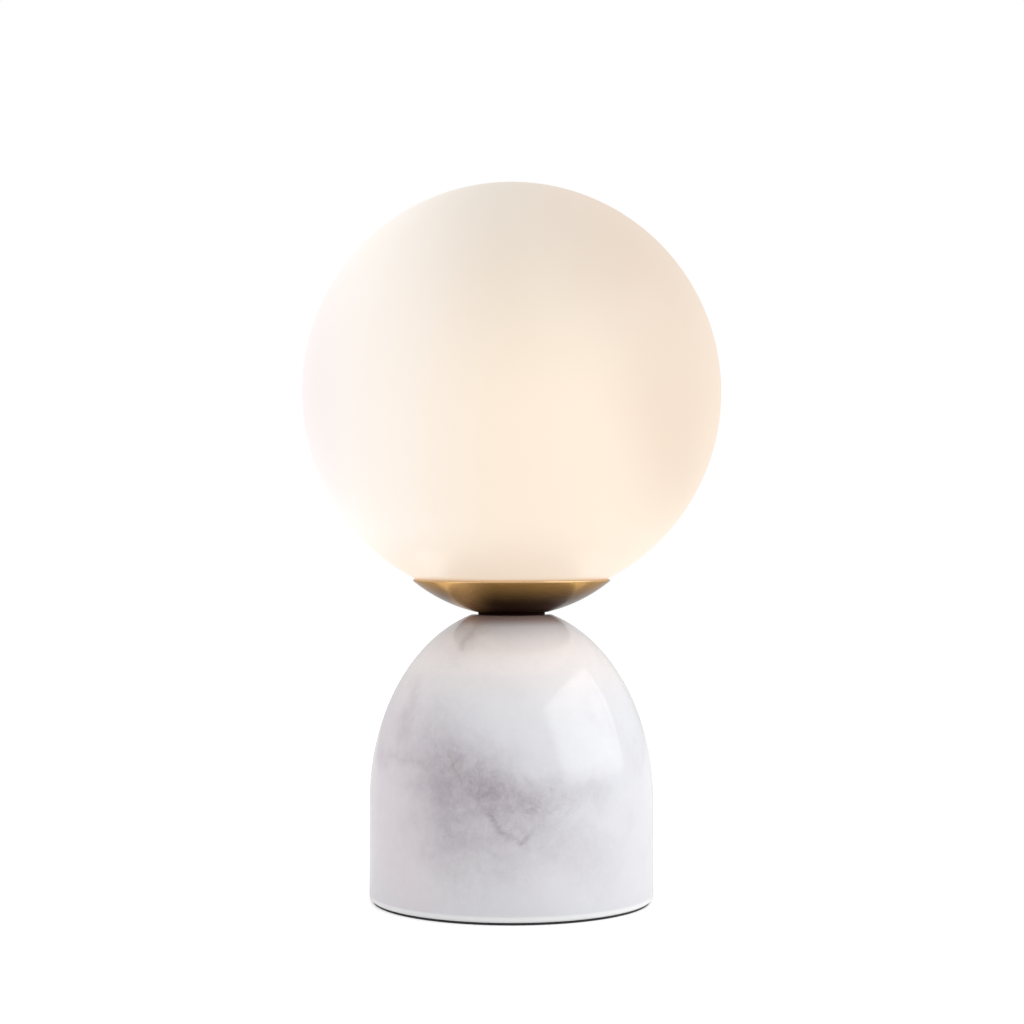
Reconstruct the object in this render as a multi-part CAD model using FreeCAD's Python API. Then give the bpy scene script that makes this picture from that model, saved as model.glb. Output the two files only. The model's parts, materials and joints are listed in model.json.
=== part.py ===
"""Glass globe table lamp: an opal glass ball in a spun brass dish on a turned marble dome.

Millimetres. +Z is up and the lamp stands on the plane Z = 0, on its own axis. The front is -Y;
the cord leaves the marble at the back, +Y. One hollow threaded tube up the middle clamps the marble,
the dish, the spring clip that grips the glass and the bulb holder into one stack. The glass pulls
straight up off the clip, and the bulb then pulls up out of its holder.
"""

import FreeCAD
import Part
import math
import os

Vector = FreeCAD.Vector
UP = Vector(0, 0, 1)
BACK = Vector(0, 1, 0)
RIGHT = Vector(1, 0, 0)
ORIGIN = Vector(0, 0, 0)
TOUCHING = 1e-6               # points closer than this are one point
CUT_OVERRUN = 1.0             # how far a cutter passes the face it cuts

# ---- driving dimensions ------------------------------------------------------------------------
# soft pad and steel cover under the marble
PAD_THICKNESS = 1.0
PAD_INSET = 1.2               # pad edge inside the marble's edge
COVER_THICKNESS = 1.5
COVER_REBATE_WIDTH = 3.2      # ledge in the marble that the cover lies in
REBATE_GAP = 0.2

# marble dome: a straight side, then half an ellipse cut off flat on top
BASE_RADIUS = 51.0
BASE_SIDE_HEIGHT = 34.8
BASE_DOME_HEIGHT = 66.6
BASE_FOOT_CHAMFER = 0.9
LAND_MARGIN = 2.6             # flat top beyond the seat washer
POCKET_WALL = 18.0            # marble left round the pocket for the wiring
POCKET_DEPTH = 28.5
TUBE_HOLE_CLEARANCE = 0.55

# cord entry at the back
ENTRY_HEIGHT = 11.0           # axis above the marble's underside
BUSH_BORE_RADIUS = 3.3
BUSH_WALL = 1.2
BUSH_LENGTH = 12.0
BUSH_FLANGE_WIDTH = 1.7
BUSH_FLANGE_THICKNESS = 1.6
BUSH_SPOTFACE_DEPTH = 1.0
BUSH_FIT = 0.05
BUSH_EDGE_ROUND = 0.5

# clamping stack on the hollow tube
TUBE_RADIUS = 4.95
TUBE_BORE_RADIUS = 4.0
TUBE_TAIL = 3.2               # tube showing below the lower nut
THREAD_FIT = 0.05
NUT_ACROSS_FLATS = 14.0
NUT_CHAMFER_ANGLE = 30.0
LOWER_NUT_HEIGHT = 5.0
UPPER_NUT_HEIGHT = 4.0
CLAMP_WASHER_RADIUS = 20.0
CLAMP_WASHER_THICKNESS = 2.0
EARTH_TAG_THICKNESS = 0.8
LOCK_WASHER_THICKNESS = 1.2
LOCK_WASHER_WIDTH = 3.0
LOCK_WASHER_SLIT = 1.2
LOCK_WASHER_SLIT_ANGLE = 135.0
SEAT_WASHER_RADIUS = 12.0
SEAT_WASHER_THICKNESS = 0.8
TOP_WASHER_RADIUS = 10.0
TOP_WASHER_THICKNESS = 1.2
WASHER_HOLE_CLEARANCE = 0.25

# spun brass dish
DISH_WALL = 0.8
DISH_RIM_RADIUS = 35.4        # outermost radius of the rounded rim
DISH_DEPTH = 11.45            # underside to the middle of the rim's rounded edge
DISH_FLOOR_MARGIN = 2.3       # flat floor beyond the top washer

# opal glass globe
GLOBE_RADIUS = 75.0
GLOBE_WALL = 3.0
RIM_GAP = 0.3                 # glass to brass rim
MOUTH_SETBACK = 6.9           # rim's outer edge to the glass mouth, in radius

# silicone ring that the glass sits on
GASKET_GAP = 0.3              # glass to ring
GASKET_WIDTH = 2.8
GASKET_START = 0.5            # ring's inner edge outside the mouth, in radius

# three-armed spring clip that grips the mouth from inside
CLIP_THICKNESS = 0.6
CLIP_ARM_WIDTH = 8.0
CLIP_ARMS = 3
CLIP_HUB_SETBACK = 1.4        # arms leave the dish's flat floor this far inside its edge
CLIP_KNEE_SETBACK = 3.2       # knee inside the mouth, in radius
CLIP_KNEE_LIFT = 1.4          # knee above the dish
CLIP_TIP_HEIGHT = 4.0         # tip above the grip
CLIP_TIP_LEAN = 2.3
CLIP_ROOT_BEND = 4.0
CLIP_KNEE_BEND = 2.5
CLIP_GRIP_BEND = 2.0

# ceramic bulb holder in its steel bracket
BRACKET_THICKNESS = 1.0
BRACKET_WIDTH = 9.0
BRACKET_BEND = 1.6
BRACKET_COLLAR_WALL = 1.5
BRACKET_COLLAR_HEIGHT = 3.0
BRACKET_ARM_HEIGHT = 15.5
HOLDER_LIFT = 2.5             # ceramic above the tube's end, room for the leads
HOLDER_RADIUS = 9.5
HOLDER_HEIGHT = 18.0
HOLDER_FLAT = 8.2             # half the width across the ceramic's two flats
HOLDER_EDGE_CHAMFER = 0.8
HOLDER_GROOVE_DEPTH = 1.4     # shallow groove across the top that guides the pins
HOLDER_GROOVE_WIDTH = 5.4
PIN_PITCH = 9.0               # two-pin bulb, centre to centre
SLOT_LENGTH = 4.6
SLOT_WIDTH = 3.4
SLOT_DEPTH = 13.0
CONTACT_THICKNESS = 0.4
CONTACT_WIDTH = 3.4
CONTACT_HEIGHT = 10.0
CONTACT_BOW = 0.55
CONTACT_BOW_START = 2.5       # above the contact's foot
CONTACT_BOW_HEIGHT = 6.0
HOLDER_SCREW_RADIUS = 1.5
HOLDER_SCREW_DEPTH = 3.6      # thread in the ceramic
HOLDER_SCREW_HEAD_RADIUS = 2.8
HOLDER_SCREW_HEAD_HEIGHT = 1.8
HOLDER_SCREW_HEIGHT = 5.5     # screw axis above the ceramic's underside
SCREW_SLOT_WIDTH = 0.8
SCREW_SLOT_DEPTH = 0.8
SCREW_HEAD_ROUND = 0.4        # share of the head's height
SCREW_FIT = 0.05

# two-pin capsule bulb
BULB_SEAT_GAP = 0.3
BULB_BASE_LENGTH = 15.0
BULB_BASE_DEPTH = 11.0
BULB_BASE_HEIGHT = 12.0
BULB_BASE_ROUND = 3.0
BULB_SPIGOT_RADIUS = 6.6
BULB_SPIGOT_HEIGHT = 3.0
BULB_ENVELOPE_RADIUS = 8.2
BULB_ENVELOPE_WALL = 0.9
BULB_ENVELOPE_HEIGHT = 30.0
PIN_WIRE_RADIUS = 0.45
PIN_LOOP_RADIUS = 1.0
PIN_LENGTH = 11.5             # below the bulb's base
PIN_ROOT = 3.0                # inside the bulb's base
LED_BOARD_WIDTH = 6.4
LED_BOARD_THICKNESS = 1.6
LED_BOARD_HEIGHT = 22.0
LED_ROWS = 4
LED_SIZE = 2.8
LED_THICKNESS = 0.7

# terminal strip on the cover, inside the pocket
POLES = 3
POLE_PITCH = 9.0
POLE_WIDTH = 6.2
STRIP_DEPTH = 16.0
STRIP_BODY_HEIGHT = 7.6
STRIP_TOWER_HEIGHT = 11.5
STRIP_TOWER_RADIUS = 2.7
STRIP_WEB_HEIGHT = 2.4
STRIP_WEB_DEPTH = 8.0
STRIP_GAP = 1.5               # strip to pocket wall
TERMINAL_HEIGHT = 4.2         # wire way above the cover
TERMINAL_RADIUS = 2.2
TERMINAL_BORE_RADIUS = 1.3
TERMINAL_LENGTH = 14.0
TERMINAL_SCREW_SPACING = 8.0
TERMINAL_SCREW_RADIUS = 1.25
TERMINAL_SCREW_HEAD_RADIUS = 1.7
TERMINAL_SCREW_HEAD_HEIGHT = 1.5
STRIP_SCREW_RADIUS = 1.2
STRIP_SCREW_HEAD_RADIUS = 2.0
STRIP_SCREW_HEAD_HEIGHT = 1.6

# insulated leads inside the lamp
LEAD_RADIUS = 0.8
LEAD_FIT = 0.1                # lead in the ceramic's hole
LEAD_SPREAD = 2.2             # each lead's distance from the lamp's axis in the tube
LEAD_INSERTION = 4.5          # into the terminal and into the ceramic
EARTH_TONGUE_LENGTH = 4.0
EARTH_TONGUE_WIDTH = 4.4
EARTH_BARREL_LENGTH = 4.5
EARTH_BARREL_RADIUS = 1.5
EARTH_RING_WIDTH = 3.4
EARTH_LEAD_CRIMP = 3.0        # lead inside the barrel
EARTH_LEAD_REACH = 11.0       # run out from the barrel before it turns down
CORNER_SHARE = 0.45           # share of the shorter run that a lead's bend takes up

# ---- heights and radii that follow -------------------------------------------------------------
TUBE_HOLE_RADIUS = TUBE_RADIUS + WASHER_HOLE_CLEARANCE
NUT_BORE_RADIUS = TUBE_RADIUS + THREAD_FIT

MARBLE_BOTTOM = PAD_THICKNESS
DOME_SPRING = MARBLE_BOTTOM + BASE_SIDE_HEIGHT
MARBLE_TOP = DOME_SPRING + BASE_DOME_HEIGHT
LAND_RADIUS = SEAT_WASHER_RADIUS + LAND_MARGIN
POCKET_RADIUS = BASE_RADIUS - POCKET_WALL
COVER_TOP = MARBLE_BOTTOM + COVER_THICKNESS
POCKET_ROOF = COVER_TOP + POCKET_DEPTH
REBATE_RADIUS = POCKET_RADIUS + COVER_REBATE_WIDTH
ENTRY_Z = MARBLE_BOTTOM + ENTRY_HEIGHT
BUSH_RADIUS = BUSH_BORE_RADIUS + BUSH_WALL
BUSH_SEAT_Y = BASE_RADIUS - BUSH_SPOTFACE_DEPTH

CLAMP_WASHER_BOTTOM = POCKET_ROOF - CLAMP_WASHER_THICKNESS
EARTH_TAG_BOTTOM = CLAMP_WASHER_BOTTOM - EARTH_TAG_THICKNESS
LOCK_WASHER_BOTTOM = EARTH_TAG_BOTTOM - LOCK_WASHER_THICKNESS
LOWER_NUT_BOTTOM = LOCK_WASHER_BOTTOM - LOWER_NUT_HEIGHT
TUBE_BOTTOM = LOWER_NUT_BOTTOM - TUBE_TAIL

DISH_BOTTOM = MARBLE_TOP + SEAT_WASHER_THICKNESS
DISH_FLOOR = DISH_BOTTOM + DISH_WALL
DISH_FLOOR_RADIUS = TOP_WASHER_RADIUS + DISH_FLOOR_MARGIN
RIM_ROUND = DISH_WALL / 2
RIM_R = DISH_RIM_RADIUS - RIM_ROUND
RIM_Z = DISH_BOTTOM + DISH_DEPTH
FLOOR_MID_Z = DISH_BOTTOM + RIM_ROUND
# the dish's middle surface is a ball through the floor's edge and the rim's middle
DISH_CENTRE = (RIM_R**2 + RIM_Z**2 - DISH_FLOOR_RADIUS**2 - FLOOR_MID_Z**2) / (2 * (RIM_Z - FLOOR_MID_Z))
DISH_MID_RADIUS = math.hypot(RIM_R, DISH_CENTRE - RIM_Z)

GLOBE_CENTRE = RIM_Z + math.sqrt((GLOBE_RADIUS + RIM_GAP + RIM_ROUND) ** 2 - RIM_R**2)
MOUTH_RADIUS = DISH_RIM_RADIUS - MOUTH_SETBACK
LIP_ROUND = GLOBE_WALL / 2
LIP_R = MOUTH_RADIUS + LIP_ROUND
LIP_Z = GLOBE_CENTRE - math.sqrt((GLOBE_RADIUS - LIP_ROUND) ** 2 - LIP_R**2)

CLIP_TOP = DISH_FLOOR + CLIP_THICKNESS
TOP_WASHER_TOP = CLIP_TOP + TOP_WASHER_THICKNESS
BRACKET_BOTTOM = TOP_WASHER_TOP + UPPER_NUT_HEIGHT
TUBE_TOP = BRACKET_BOTTOM + BRACKET_THICKNESS + BRACKET_COLLAR_HEIGHT
HOLDER_BOTTOM = TUBE_TOP + HOLDER_LIFT
HOLDER_TOP = HOLDER_BOTTOM + HOLDER_HEIGHT
SLOT_BOTTOM = HOLDER_TOP - SLOT_DEPTH
HOLDER_SCREW_Z = HOLDER_BOTTOM + HOLDER_SCREW_HEIGHT
BRACKET_FACE = HOLDER_FLAT + BRACKET_THICKNESS
PIN_X = PIN_PITCH / 2

BULB_BOTTOM = HOLDER_TOP + BULB_SEAT_GAP
BULB_SHOULDER = BULB_BOTTOM + BULB_BASE_HEIGHT
ENVELOPE_TOP = BULB_SHOULDER + BULB_ENVELOPE_HEIGHT
LED_BOARD_BOTTOM = BULB_SHOULDER + BULB_SPIGOT_HEIGHT

TERMINAL_Z = COVER_TOP + TERMINAL_HEIGHT
STRIP_WIDTH = POLE_PITCH * (POLES - 1) + POLE_WIDTH
STRIP_BACK_Y = -math.sqrt((POCKET_RADIUS - STRIP_GAP) ** 2 - (STRIP_WIDTH / 2) ** 2)
STRIP_MIDDLE_Y = STRIP_BACK_Y + STRIP_DEPTH / 2
STRIP_FRONT_Y = STRIP_BACK_Y + STRIP_DEPTH
POLE_X = [POLE_PITCH * (pole - (POLES - 1) / 2) for pole in range(POLES)]
EARTH_RING_RADIUS = TUBE_HOLE_RADIUS + EARTH_RING_WIDTH
EARTH_BARREL_X = EARTH_RING_RADIUS + EARTH_TONGUE_LENGTH
EARTH_BARREL_Z = CLAMP_WASHER_BOTTOM - EARTH_BARREL_RADIUS


# ---- small tools -------------------------------------------------------------------------------
def cylinder(radius, bottom, top, x=0.0, y=0.0):
    """An upright solid cylinder between two heights."""
    return Part.makeCylinder(radius, top - bottom, Vector(x, y, bottom), UP)


def ring(outer, inner, bottom, top):
    """An upright washer or tube on the lamp's axis."""
    return cylinder(outer, bottom, top).cut(cylinder(inner, bottom, top))


def rod(radius, start, end):
    """A solid cylinder from one point to another."""
    along = end - start
    return Part.makeCylinder(radius, along.Length, start, along)


def block(low, high):
    """A box between two corners, each (x, y, z)."""
    size = [top - bottom for bottom, top in zip(low, high)]
    return Part.makeBox(*size, Vector(*low))


def fused(shapes):
    """One solid from shapes that touch or overlap."""
    return shapes[0].multiFuse(shapes[1:]).removeSplitter()


class Section:
    """A closed outline in the plane through the lamp's axis, drawn as (radius, height)."""

    def __init__(self, radius, height):
        self.start = self.here = Vector(radius, 0, height)
        self.edges = []

    def line(self, radius, height):
        """Adds a straight run to a point."""
        there = Vector(radius, 0, height)
        self.edges.append(Part.makeLine(self.here, there))
        self.here = there
        return self

    def arc(self, centre_r, centre_z, radius, height, towards):
        """Adds an arc about a centre to a point, bulging towards a direction given as (r, z)."""
        centre, there = Vector(centre_r, 0, centre_z), Vector(radius, 0, height)
        size = (self.here - centre).Length
        bulge = (self.here + there) * 0.5 - centre
        if bulge.Length < TOUCHING:
            bulge = Vector(towards[0], 0, towards[1])
        if bulge.dot(Vector(towards[0], 0, towards[1])) < 0:
            bulge = bulge * -1
        middle = centre + bulge.normalize() * size
        self.edges.append(Part.Arc(self.here, middle, there).toShape())
        self.here = there
        return self

    def ellipse(self, semi_r, semi_z, centre_z, radius):
        """Adds a stretch of an ellipse centred on the axis, from here up to a smaller radius."""
        centre, side = Vector(0, 0, centre_z), Vector(semi_r, 0, centre_z)
        top = Vector(0, 0, centre_z + semi_z)
        longer, shorter = (top, side) if semi_z > semi_r else (side, top)
        curve = Part.Ellipse(longer, shorter, centre)
        there = Vector(radius, 0, centre_z + semi_z * math.sqrt(1 - (radius / semi_r) ** 2))
        ends = sorted(curve.parameter(point) for point in (self.here, there))
        self.edges.append(curve.toShape(*ends))
        self.here = there
        return self

    def revolved(self):
        """Closes the outline and turns it round the lamp's axis."""
        if (self.start - self.here).Length > TOUCHING:
            self.line(self.start.x, self.start.z)
        face = Part.Face(Part.Wire(Part.__sortEdges__(self.edges)))
        return face.revolve(ORIGIN, UP, 360)


def rounded_path(points, radii):
    """Straight runs through points, with an arc of the given radius at each inner point."""
    edges, here = [], points[0]
    for before, corner, after, radius in zip(points, points[1:], points[2:], radii):
        run_in, run_out = (corner - before).normalize(), (after - corner).normalize()
        half_turn = math.acos(max(-1.0, min(1.0, run_in.dot(run_out)))) / 2
        reach = radius * math.tan(half_turn)
        begin, end = corner - run_in * reach, corner + run_out * reach
        inward = (run_out - run_in).normalize()
        middle = corner + inward * (radius / math.cos(half_turn) - radius)
        edges.append(Part.makeLine(here, begin))
        edges.append(Part.Arc(begin, middle, end).toShape())
        here = end
    edges.append(Part.makeLine(here, points[-1]))
    return edges


def bent_strip(points, radii, thickness, width):
    """Sheet metal bent along points in the XZ plane, its width along Y. Radii are the middle line's."""
    sides = []
    for offset in (thickness / 2, -thickness / 2):
        runs = [(b - a).normalize() for a, b in zip(points, points[1:])]
        normals = [Vector(-run.z, 0, run.x) for run in runs]
        moved, bends = [points[0] + normals[0] * offset], []
        for corner, before, after, run, radius in zip(points[1:], normals, normals[1:], runs, radii):
            turn_left = before.x * after.z - before.z * after.x > 0
            moved.append(corner + (before + after) * (offset / (1 + before.dot(after))))
            bends.append(radius - offset if turn_left else radius + offset)
        moved.append(points[-1] + normals[-1] * offset)
        sides.append((moved, rounded_path(moved, bends)))
    (left, left_edges), (right, right_edges) = sides
    ends = [Part.makeLine(left[0], right[0]), Part.makeLine(left[-1], right[-1])]
    face = Part.Face(Part.Wire(Part.__sortEdges__(left_edges + right_edges + ends)))
    face.translate(Vector(0, -width / 2, 0))
    return face.extrude(Vector(0, width, 0))


def wire_along(points, radius):
    """A round wire through points, each bend as large as its two runs allow."""
    bends = []
    for before, corner, after in zip(points, points[1:], points[2:]):
        turn = (corner - before).getAngle(after - corner)
        shorter = min((corner - before).Length, (after - corner).Length)
        bends.append(CORNER_SHARE * shorter / math.tan(turn / 2))
    path = Part.Wire(rounded_path(points, bends))
    profile = Part.Wire(Part.makeCircle(radius, points[0], points[1] - points[0]))
    return path.makePipeShell([profile], True, False)


def hexagon_nut(bottom, height):
    """A hexagon nut on the tube, its corners turned off at both ends."""
    corner = NUT_ACROSS_FLATS / math.sqrt(3)
    angles = [side * math.pi / 3 for side in range(7)]
    corners = [Vector(corner * math.cos(angle), corner * math.sin(angle), bottom) for angle in angles]
    prism = Part.Face(Part.makePolygon(corners)).extrude(UP * height)
    turned = NUT_ACROSS_FLATS / 2
    drop = (corner - turned) * math.tan(math.radians(NUT_CHAMFER_ANGLE))
    envelope = (Section(0, bottom).line(turned, bottom).line(corner, bottom + drop)
                .line(corner, bottom + height - drop).line(turned, bottom + height)
                .line(0, bottom + height).revolved())
    return prism.common(envelope).cut(cylinder(NUT_BORE_RADIUS, bottom, bottom + height))


def slotted_head(radius, height, base, direction):
    """A pan head standing on base along direction, with its driver slot."""
    head = Part.makeCylinder(radius, height, base, direction)
    outer_edges = [e for e in head.Edges
                   if e.Closed and (e.CenterOfMass - base).dot(direction) > height / 2]
    head = head.makeFillet(height * SCREW_HEAD_ROUND, outer_edges)
    across = UP if abs(direction.z) < 0.5 else RIGHT
    sideways = direction.cross(across)
    reach = radius + SCREW_FIT
    slot_floor = base + direction * (height - SCREW_SLOT_DEPTH)
    corner = slot_floor - across * reach - sideways * (SCREW_SLOT_WIDTH / 2)
    along, aside = across * (2 * reach), sideways * SCREW_SLOT_WIDTH
    outline = [corner, corner + along, corner + along + aside, corner + aside, corner]
    return head.cut(Part.Face(Part.makePolygon(outline)).extrude(direction * (SCREW_SLOT_DEPTH * 2)))


def dish_inner_z(radius):
    """Height of the dish's inner face at a radius."""
    return DISH_CENTRE - math.sqrt((DISH_MID_RADIUS - RIM_ROUND) ** 2 - radius**2)


def globe_offset_z(radius, offset):
    """Height of a ball that stands offset outside the glass, below its middle, at a radius."""
    return GLOBE_CENTRE - math.sqrt((GLOBE_RADIUS + offset) ** 2 - radius**2)


# ---- base --------------------------------------------------------------------------------------
def base_pad():
    """Dense foam disc glued under the marble: the lamp stands on it."""
    return cylinder(BASE_RADIUS - PAD_INSET, 0, PAD_THICKNESS)


def cover_plate():
    """Steel disc that closes the wiring pocket and carries the terminal strip."""
    disc = cylinder(REBATE_RADIUS - REBATE_GAP, MARBLE_BOTTOM, COVER_TOP)
    screw_hole = cylinder(STRIP_SCREW_RADIUS + SCREW_FIT, MARBLE_BOTTOM, COVER_TOP,
                          strip_screw_x(), STRIP_MIDDLE_Y)
    return disc.cut(screw_hole)


def marble_base():
    """Turned marble dome with its tube hole, wiring pocket, cover rebate and cord entry."""
    # the whole half ellipse is taller than the dome, whose tip is cut off by the flat land
    semi_height = BASE_DOME_HEIGHT / math.sqrt(1 - (LAND_RADIUS / BASE_RADIUS) ** 2)
    hole = TUBE_RADIUS + TUBE_HOLE_CLEARANCE
    dome = (Section(hole, POCKET_ROOF).line(POCKET_RADIUS, POCKET_ROOF).line(POCKET_RADIUS, COVER_TOP)
            .line(REBATE_RADIUS, COVER_TOP).line(REBATE_RADIUS, MARBLE_BOTTOM)
            .line(BASE_RADIUS - BASE_FOOT_CHAMFER, MARBLE_BOTTOM)
            .line(BASE_RADIUS, MARBLE_BOTTOM + BASE_FOOT_CHAMFER).line(BASE_RADIUS, DOME_SPRING)
            .ellipse(BASE_RADIUS, semi_height, DOME_SPRING, LAND_RADIUS)
            .line(hole, MARBLE_TOP).revolved())
    entry = rod(BUSH_RADIUS + BUSH_FIT, Vector(0, POCKET_RADIUS / 2, ENTRY_Z),
                Vector(0, BASE_RADIUS, ENTRY_Z))
    spotface = rod(BUSH_RADIUS + BUSH_FLANGE_WIDTH + BUSH_FIT, Vector(0, BUSH_SEAT_Y, ENTRY_Z),
                   Vector(0, BASE_RADIUS + BUSH_SPOTFACE_DEPTH, ENTRY_Z))
    return dome.cut(entry.fuse(spotface))


def cord_bush():
    """Rubber bush that lines the cord entry: a sleeve in the marble and a flange outside."""
    inner_end, flange_end = BUSH_SEAT_Y - BUSH_LENGTH, BUSH_SEAT_Y + BUSH_FLANGE_THICKNESS
    sleeve = rod(BUSH_RADIUS, Vector(0, inner_end, ENTRY_Z), Vector(0, BUSH_SEAT_Y, ENTRY_Z))
    flange = rod(BUSH_RADIUS + BUSH_FLANGE_WIDTH, Vector(0, BUSH_SEAT_Y, ENTRY_Z),
                 Vector(0, flange_end, ENTRY_Z))
    flange_middle = BUSH_SEAT_Y + BUSH_FLANGE_THICKNESS / 2
    outer_edges = [e for e in flange.Edges if e.Closed and e.CenterOfMass.y > flange_middle]
    flange = flange.makeFillet(BUSH_EDGE_ROUND, outer_edges)
    bore = rod(BUSH_BORE_RADIUS, Vector(0, inner_end, ENTRY_Z), Vector(0, flange_end, ENTRY_Z))
    return sleeve.fuse(flange).removeSplitter().cut(bore)


# ---- clamping stack ----------------------------------------------------------------------------
def centre_tube():
    """Hollow threaded tube from the pocket to the bulb holder; the leads run in it."""
    return ring(TUBE_RADIUS, TUBE_BORE_RADIUS, TUBE_BOTTOM, TUBE_TOP)


def clamp_washer():
    """Wide steel washer that spreads the clamping load on the pocket's roof."""
    return ring(CLAMP_WASHER_RADIUS, TUBE_HOLE_RADIUS, CLAMP_WASHER_BOTTOM, POCKET_ROOF)


def lock_washer():
    """Split spring washer under the lower nut."""
    outer = TUBE_HOLE_RADIUS + LOCK_WASHER_WIDTH
    washer = ring(outer, TUBE_HOLE_RADIUS, LOCK_WASHER_BOTTOM, EARTH_TAG_BOTTOM)
    slit = block((0, -LOCK_WASHER_SLIT / 2, LOCK_WASHER_BOTTOM - CUT_OVERRUN),
                 (outer + CUT_OVERRUN, LOCK_WASHER_SLIT / 2, EARTH_TAG_BOTTOM + CUT_OVERRUN))
    slit.rotate(ORIGIN, UP, LOCK_WASHER_SLIT_ANGLE)
    return washer.cut(slit)


def lower_nut():
    """Hexagon nut that pulls the whole stack together from the pocket."""
    return hexagon_nut(LOWER_NUT_BOTTOM, LOWER_NUT_HEIGHT)


def upper_nut():
    """Thin hexagon nut on the clip and dish; the holder's bracket locks against it."""
    return hexagon_nut(TOP_WASHER_TOP, UPPER_NUT_HEIGHT)


def seat_washer():
    """Dark fibre washer between the polished marble and the dish."""
    return ring(SEAT_WASHER_RADIUS, TUBE_HOLE_RADIUS, MARBLE_TOP, DISH_BOTTOM)


def top_washer():
    """Steel washer over the clip's hub."""
    return ring(TOP_WASHER_RADIUS, TUBE_HOLE_RADIUS, CLIP_TOP, TOP_WASHER_TOP)


def earth_tag():
    """Brass ring tag on the tube with a tongue and a crimp barrel for the earth lead."""
    disc = ring(EARTH_RING_RADIUS, TUBE_HOLE_RADIUS, EARTH_TAG_BOTTOM, CLAMP_WASHER_BOTTOM)
    half = EARTH_TONGUE_WIDTH / 2
    tongue = block((TUBE_HOLE_RADIUS + EARTH_RING_WIDTH / 2, -half, EARTH_TAG_BOTTOM),
                   (EARTH_BARREL_X, half, CLAMP_WASHER_BOTTOM))
    # the barrel hangs from the tongue so that it clears the wide washer above
    start = Vector(EARTH_BARREL_X, 0, EARTH_BARREL_Z)
    end = start + RIGHT * EARTH_BARREL_LENGTH
    barrel = rod(EARTH_BARREL_RADIUS, start, end)
    return fused([disc, tongue, barrel]).cut(rod(LEAD_RADIUS + SCREW_FIT, start, end))


# ---- dish, gasket and clip ---------------------------------------------------------------------
def brass_dish():
    """Spun brass dish of even wall: a flat floor, a ball-shaped side and a rounded rim."""
    outer, inner = DISH_MID_RADIUS + RIM_ROUND, DISH_MID_RADIUS - RIM_ROUND
    slope_r, slope_z = RIM_R / DISH_MID_RADIUS, (DISH_CENTRE - RIM_Z) / DISH_MID_RADIUS
    outer_foot_r = math.sqrt(outer**2 - (DISH_CENTRE - DISH_BOTTOM) ** 2)
    inner_foot_r = math.sqrt(inner**2 - (DISH_CENTRE - DISH_FLOOR) ** 2)
    return (Section(TUBE_HOLE_RADIUS, DISH_BOTTOM).line(outer_foot_r, DISH_BOTTOM)
            .arc(0, DISH_CENTRE, outer * slope_r, DISH_CENTRE - outer * slope_z, (1, -1))
            .arc(RIM_R, RIM_Z, inner * slope_r, DISH_CENTRE - inner * slope_z, (slope_z, slope_r))
            .arc(0, DISH_CENTRE, inner_foot_r, DISH_FLOOR, (1, -1))
            .line(TUBE_HOLE_RADIUS, DISH_FLOOR).revolved())


def globe_gasket():
    """Clear silicone ring that fills the wedge between the dish and the glass."""
    inner_r = MOUTH_RADIUS + GASKET_START
    outer_r = inner_r + GASKET_WIDTH
    return (Section(inner_r, dish_inner_z(inner_r))
            .arc(0, DISH_CENTRE, outer_r, dish_inner_z(outer_r), (1, -1))
            .line(outer_r, globe_offset_z(outer_r, GASKET_GAP))
            .arc(0, GLOBE_CENTRE, inner_r, globe_offset_z(inner_r, GASKET_GAP), (1, -1)).revolved())


def spring_clip():
    """One spring-steel stamping: a hub clamped on the tube and three arms that grip the glass mouth."""
    hub_z = DISH_FLOOR + CLIP_THICKNESS / 2
    hub_r = DISH_FLOOR_RADIUS - CLIP_HUB_SETBACK
    knee_r = MOUTH_RADIUS - CLIP_KNEE_SETBACK
    grip_r = MOUTH_RADIUS - CLIP_THICKNESS / 2
    middle_line = [Vector(TUBE_HOLE_RADIUS + CUT_OVERRUN, 0, hub_z), Vector(hub_r, 0, hub_z),
                   Vector(knee_r, 0, dish_inner_z(knee_r) + CLIP_KNEE_LIFT),
                   Vector(grip_r, 0, LIP_Z), Vector(grip_r - CLIP_TIP_LEAN, 0, LIP_Z + CLIP_TIP_HEIGHT)]
    bends = [CLIP_ROOT_BEND, CLIP_KNEE_BEND, CLIP_GRIP_BEND]
    arm = bent_strip(middle_line, bends, CLIP_THICKNESS, CLIP_ARM_WIDTH)
    arms = []
    for number in range(CLIP_ARMS):
        turned = arm.copy()
        turned.rotate(ORIGIN, UP, 90 + number * 360 / CLIP_ARMS)
        arms.append(turned)
    hub = cylinder(TOP_WASHER_RADIUS, DISH_FLOOR, CLIP_TOP)
    return fused([hub] + arms).cut(cylinder(TUBE_HOLE_RADIUS, DISH_FLOOR, CLIP_TOP))


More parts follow.
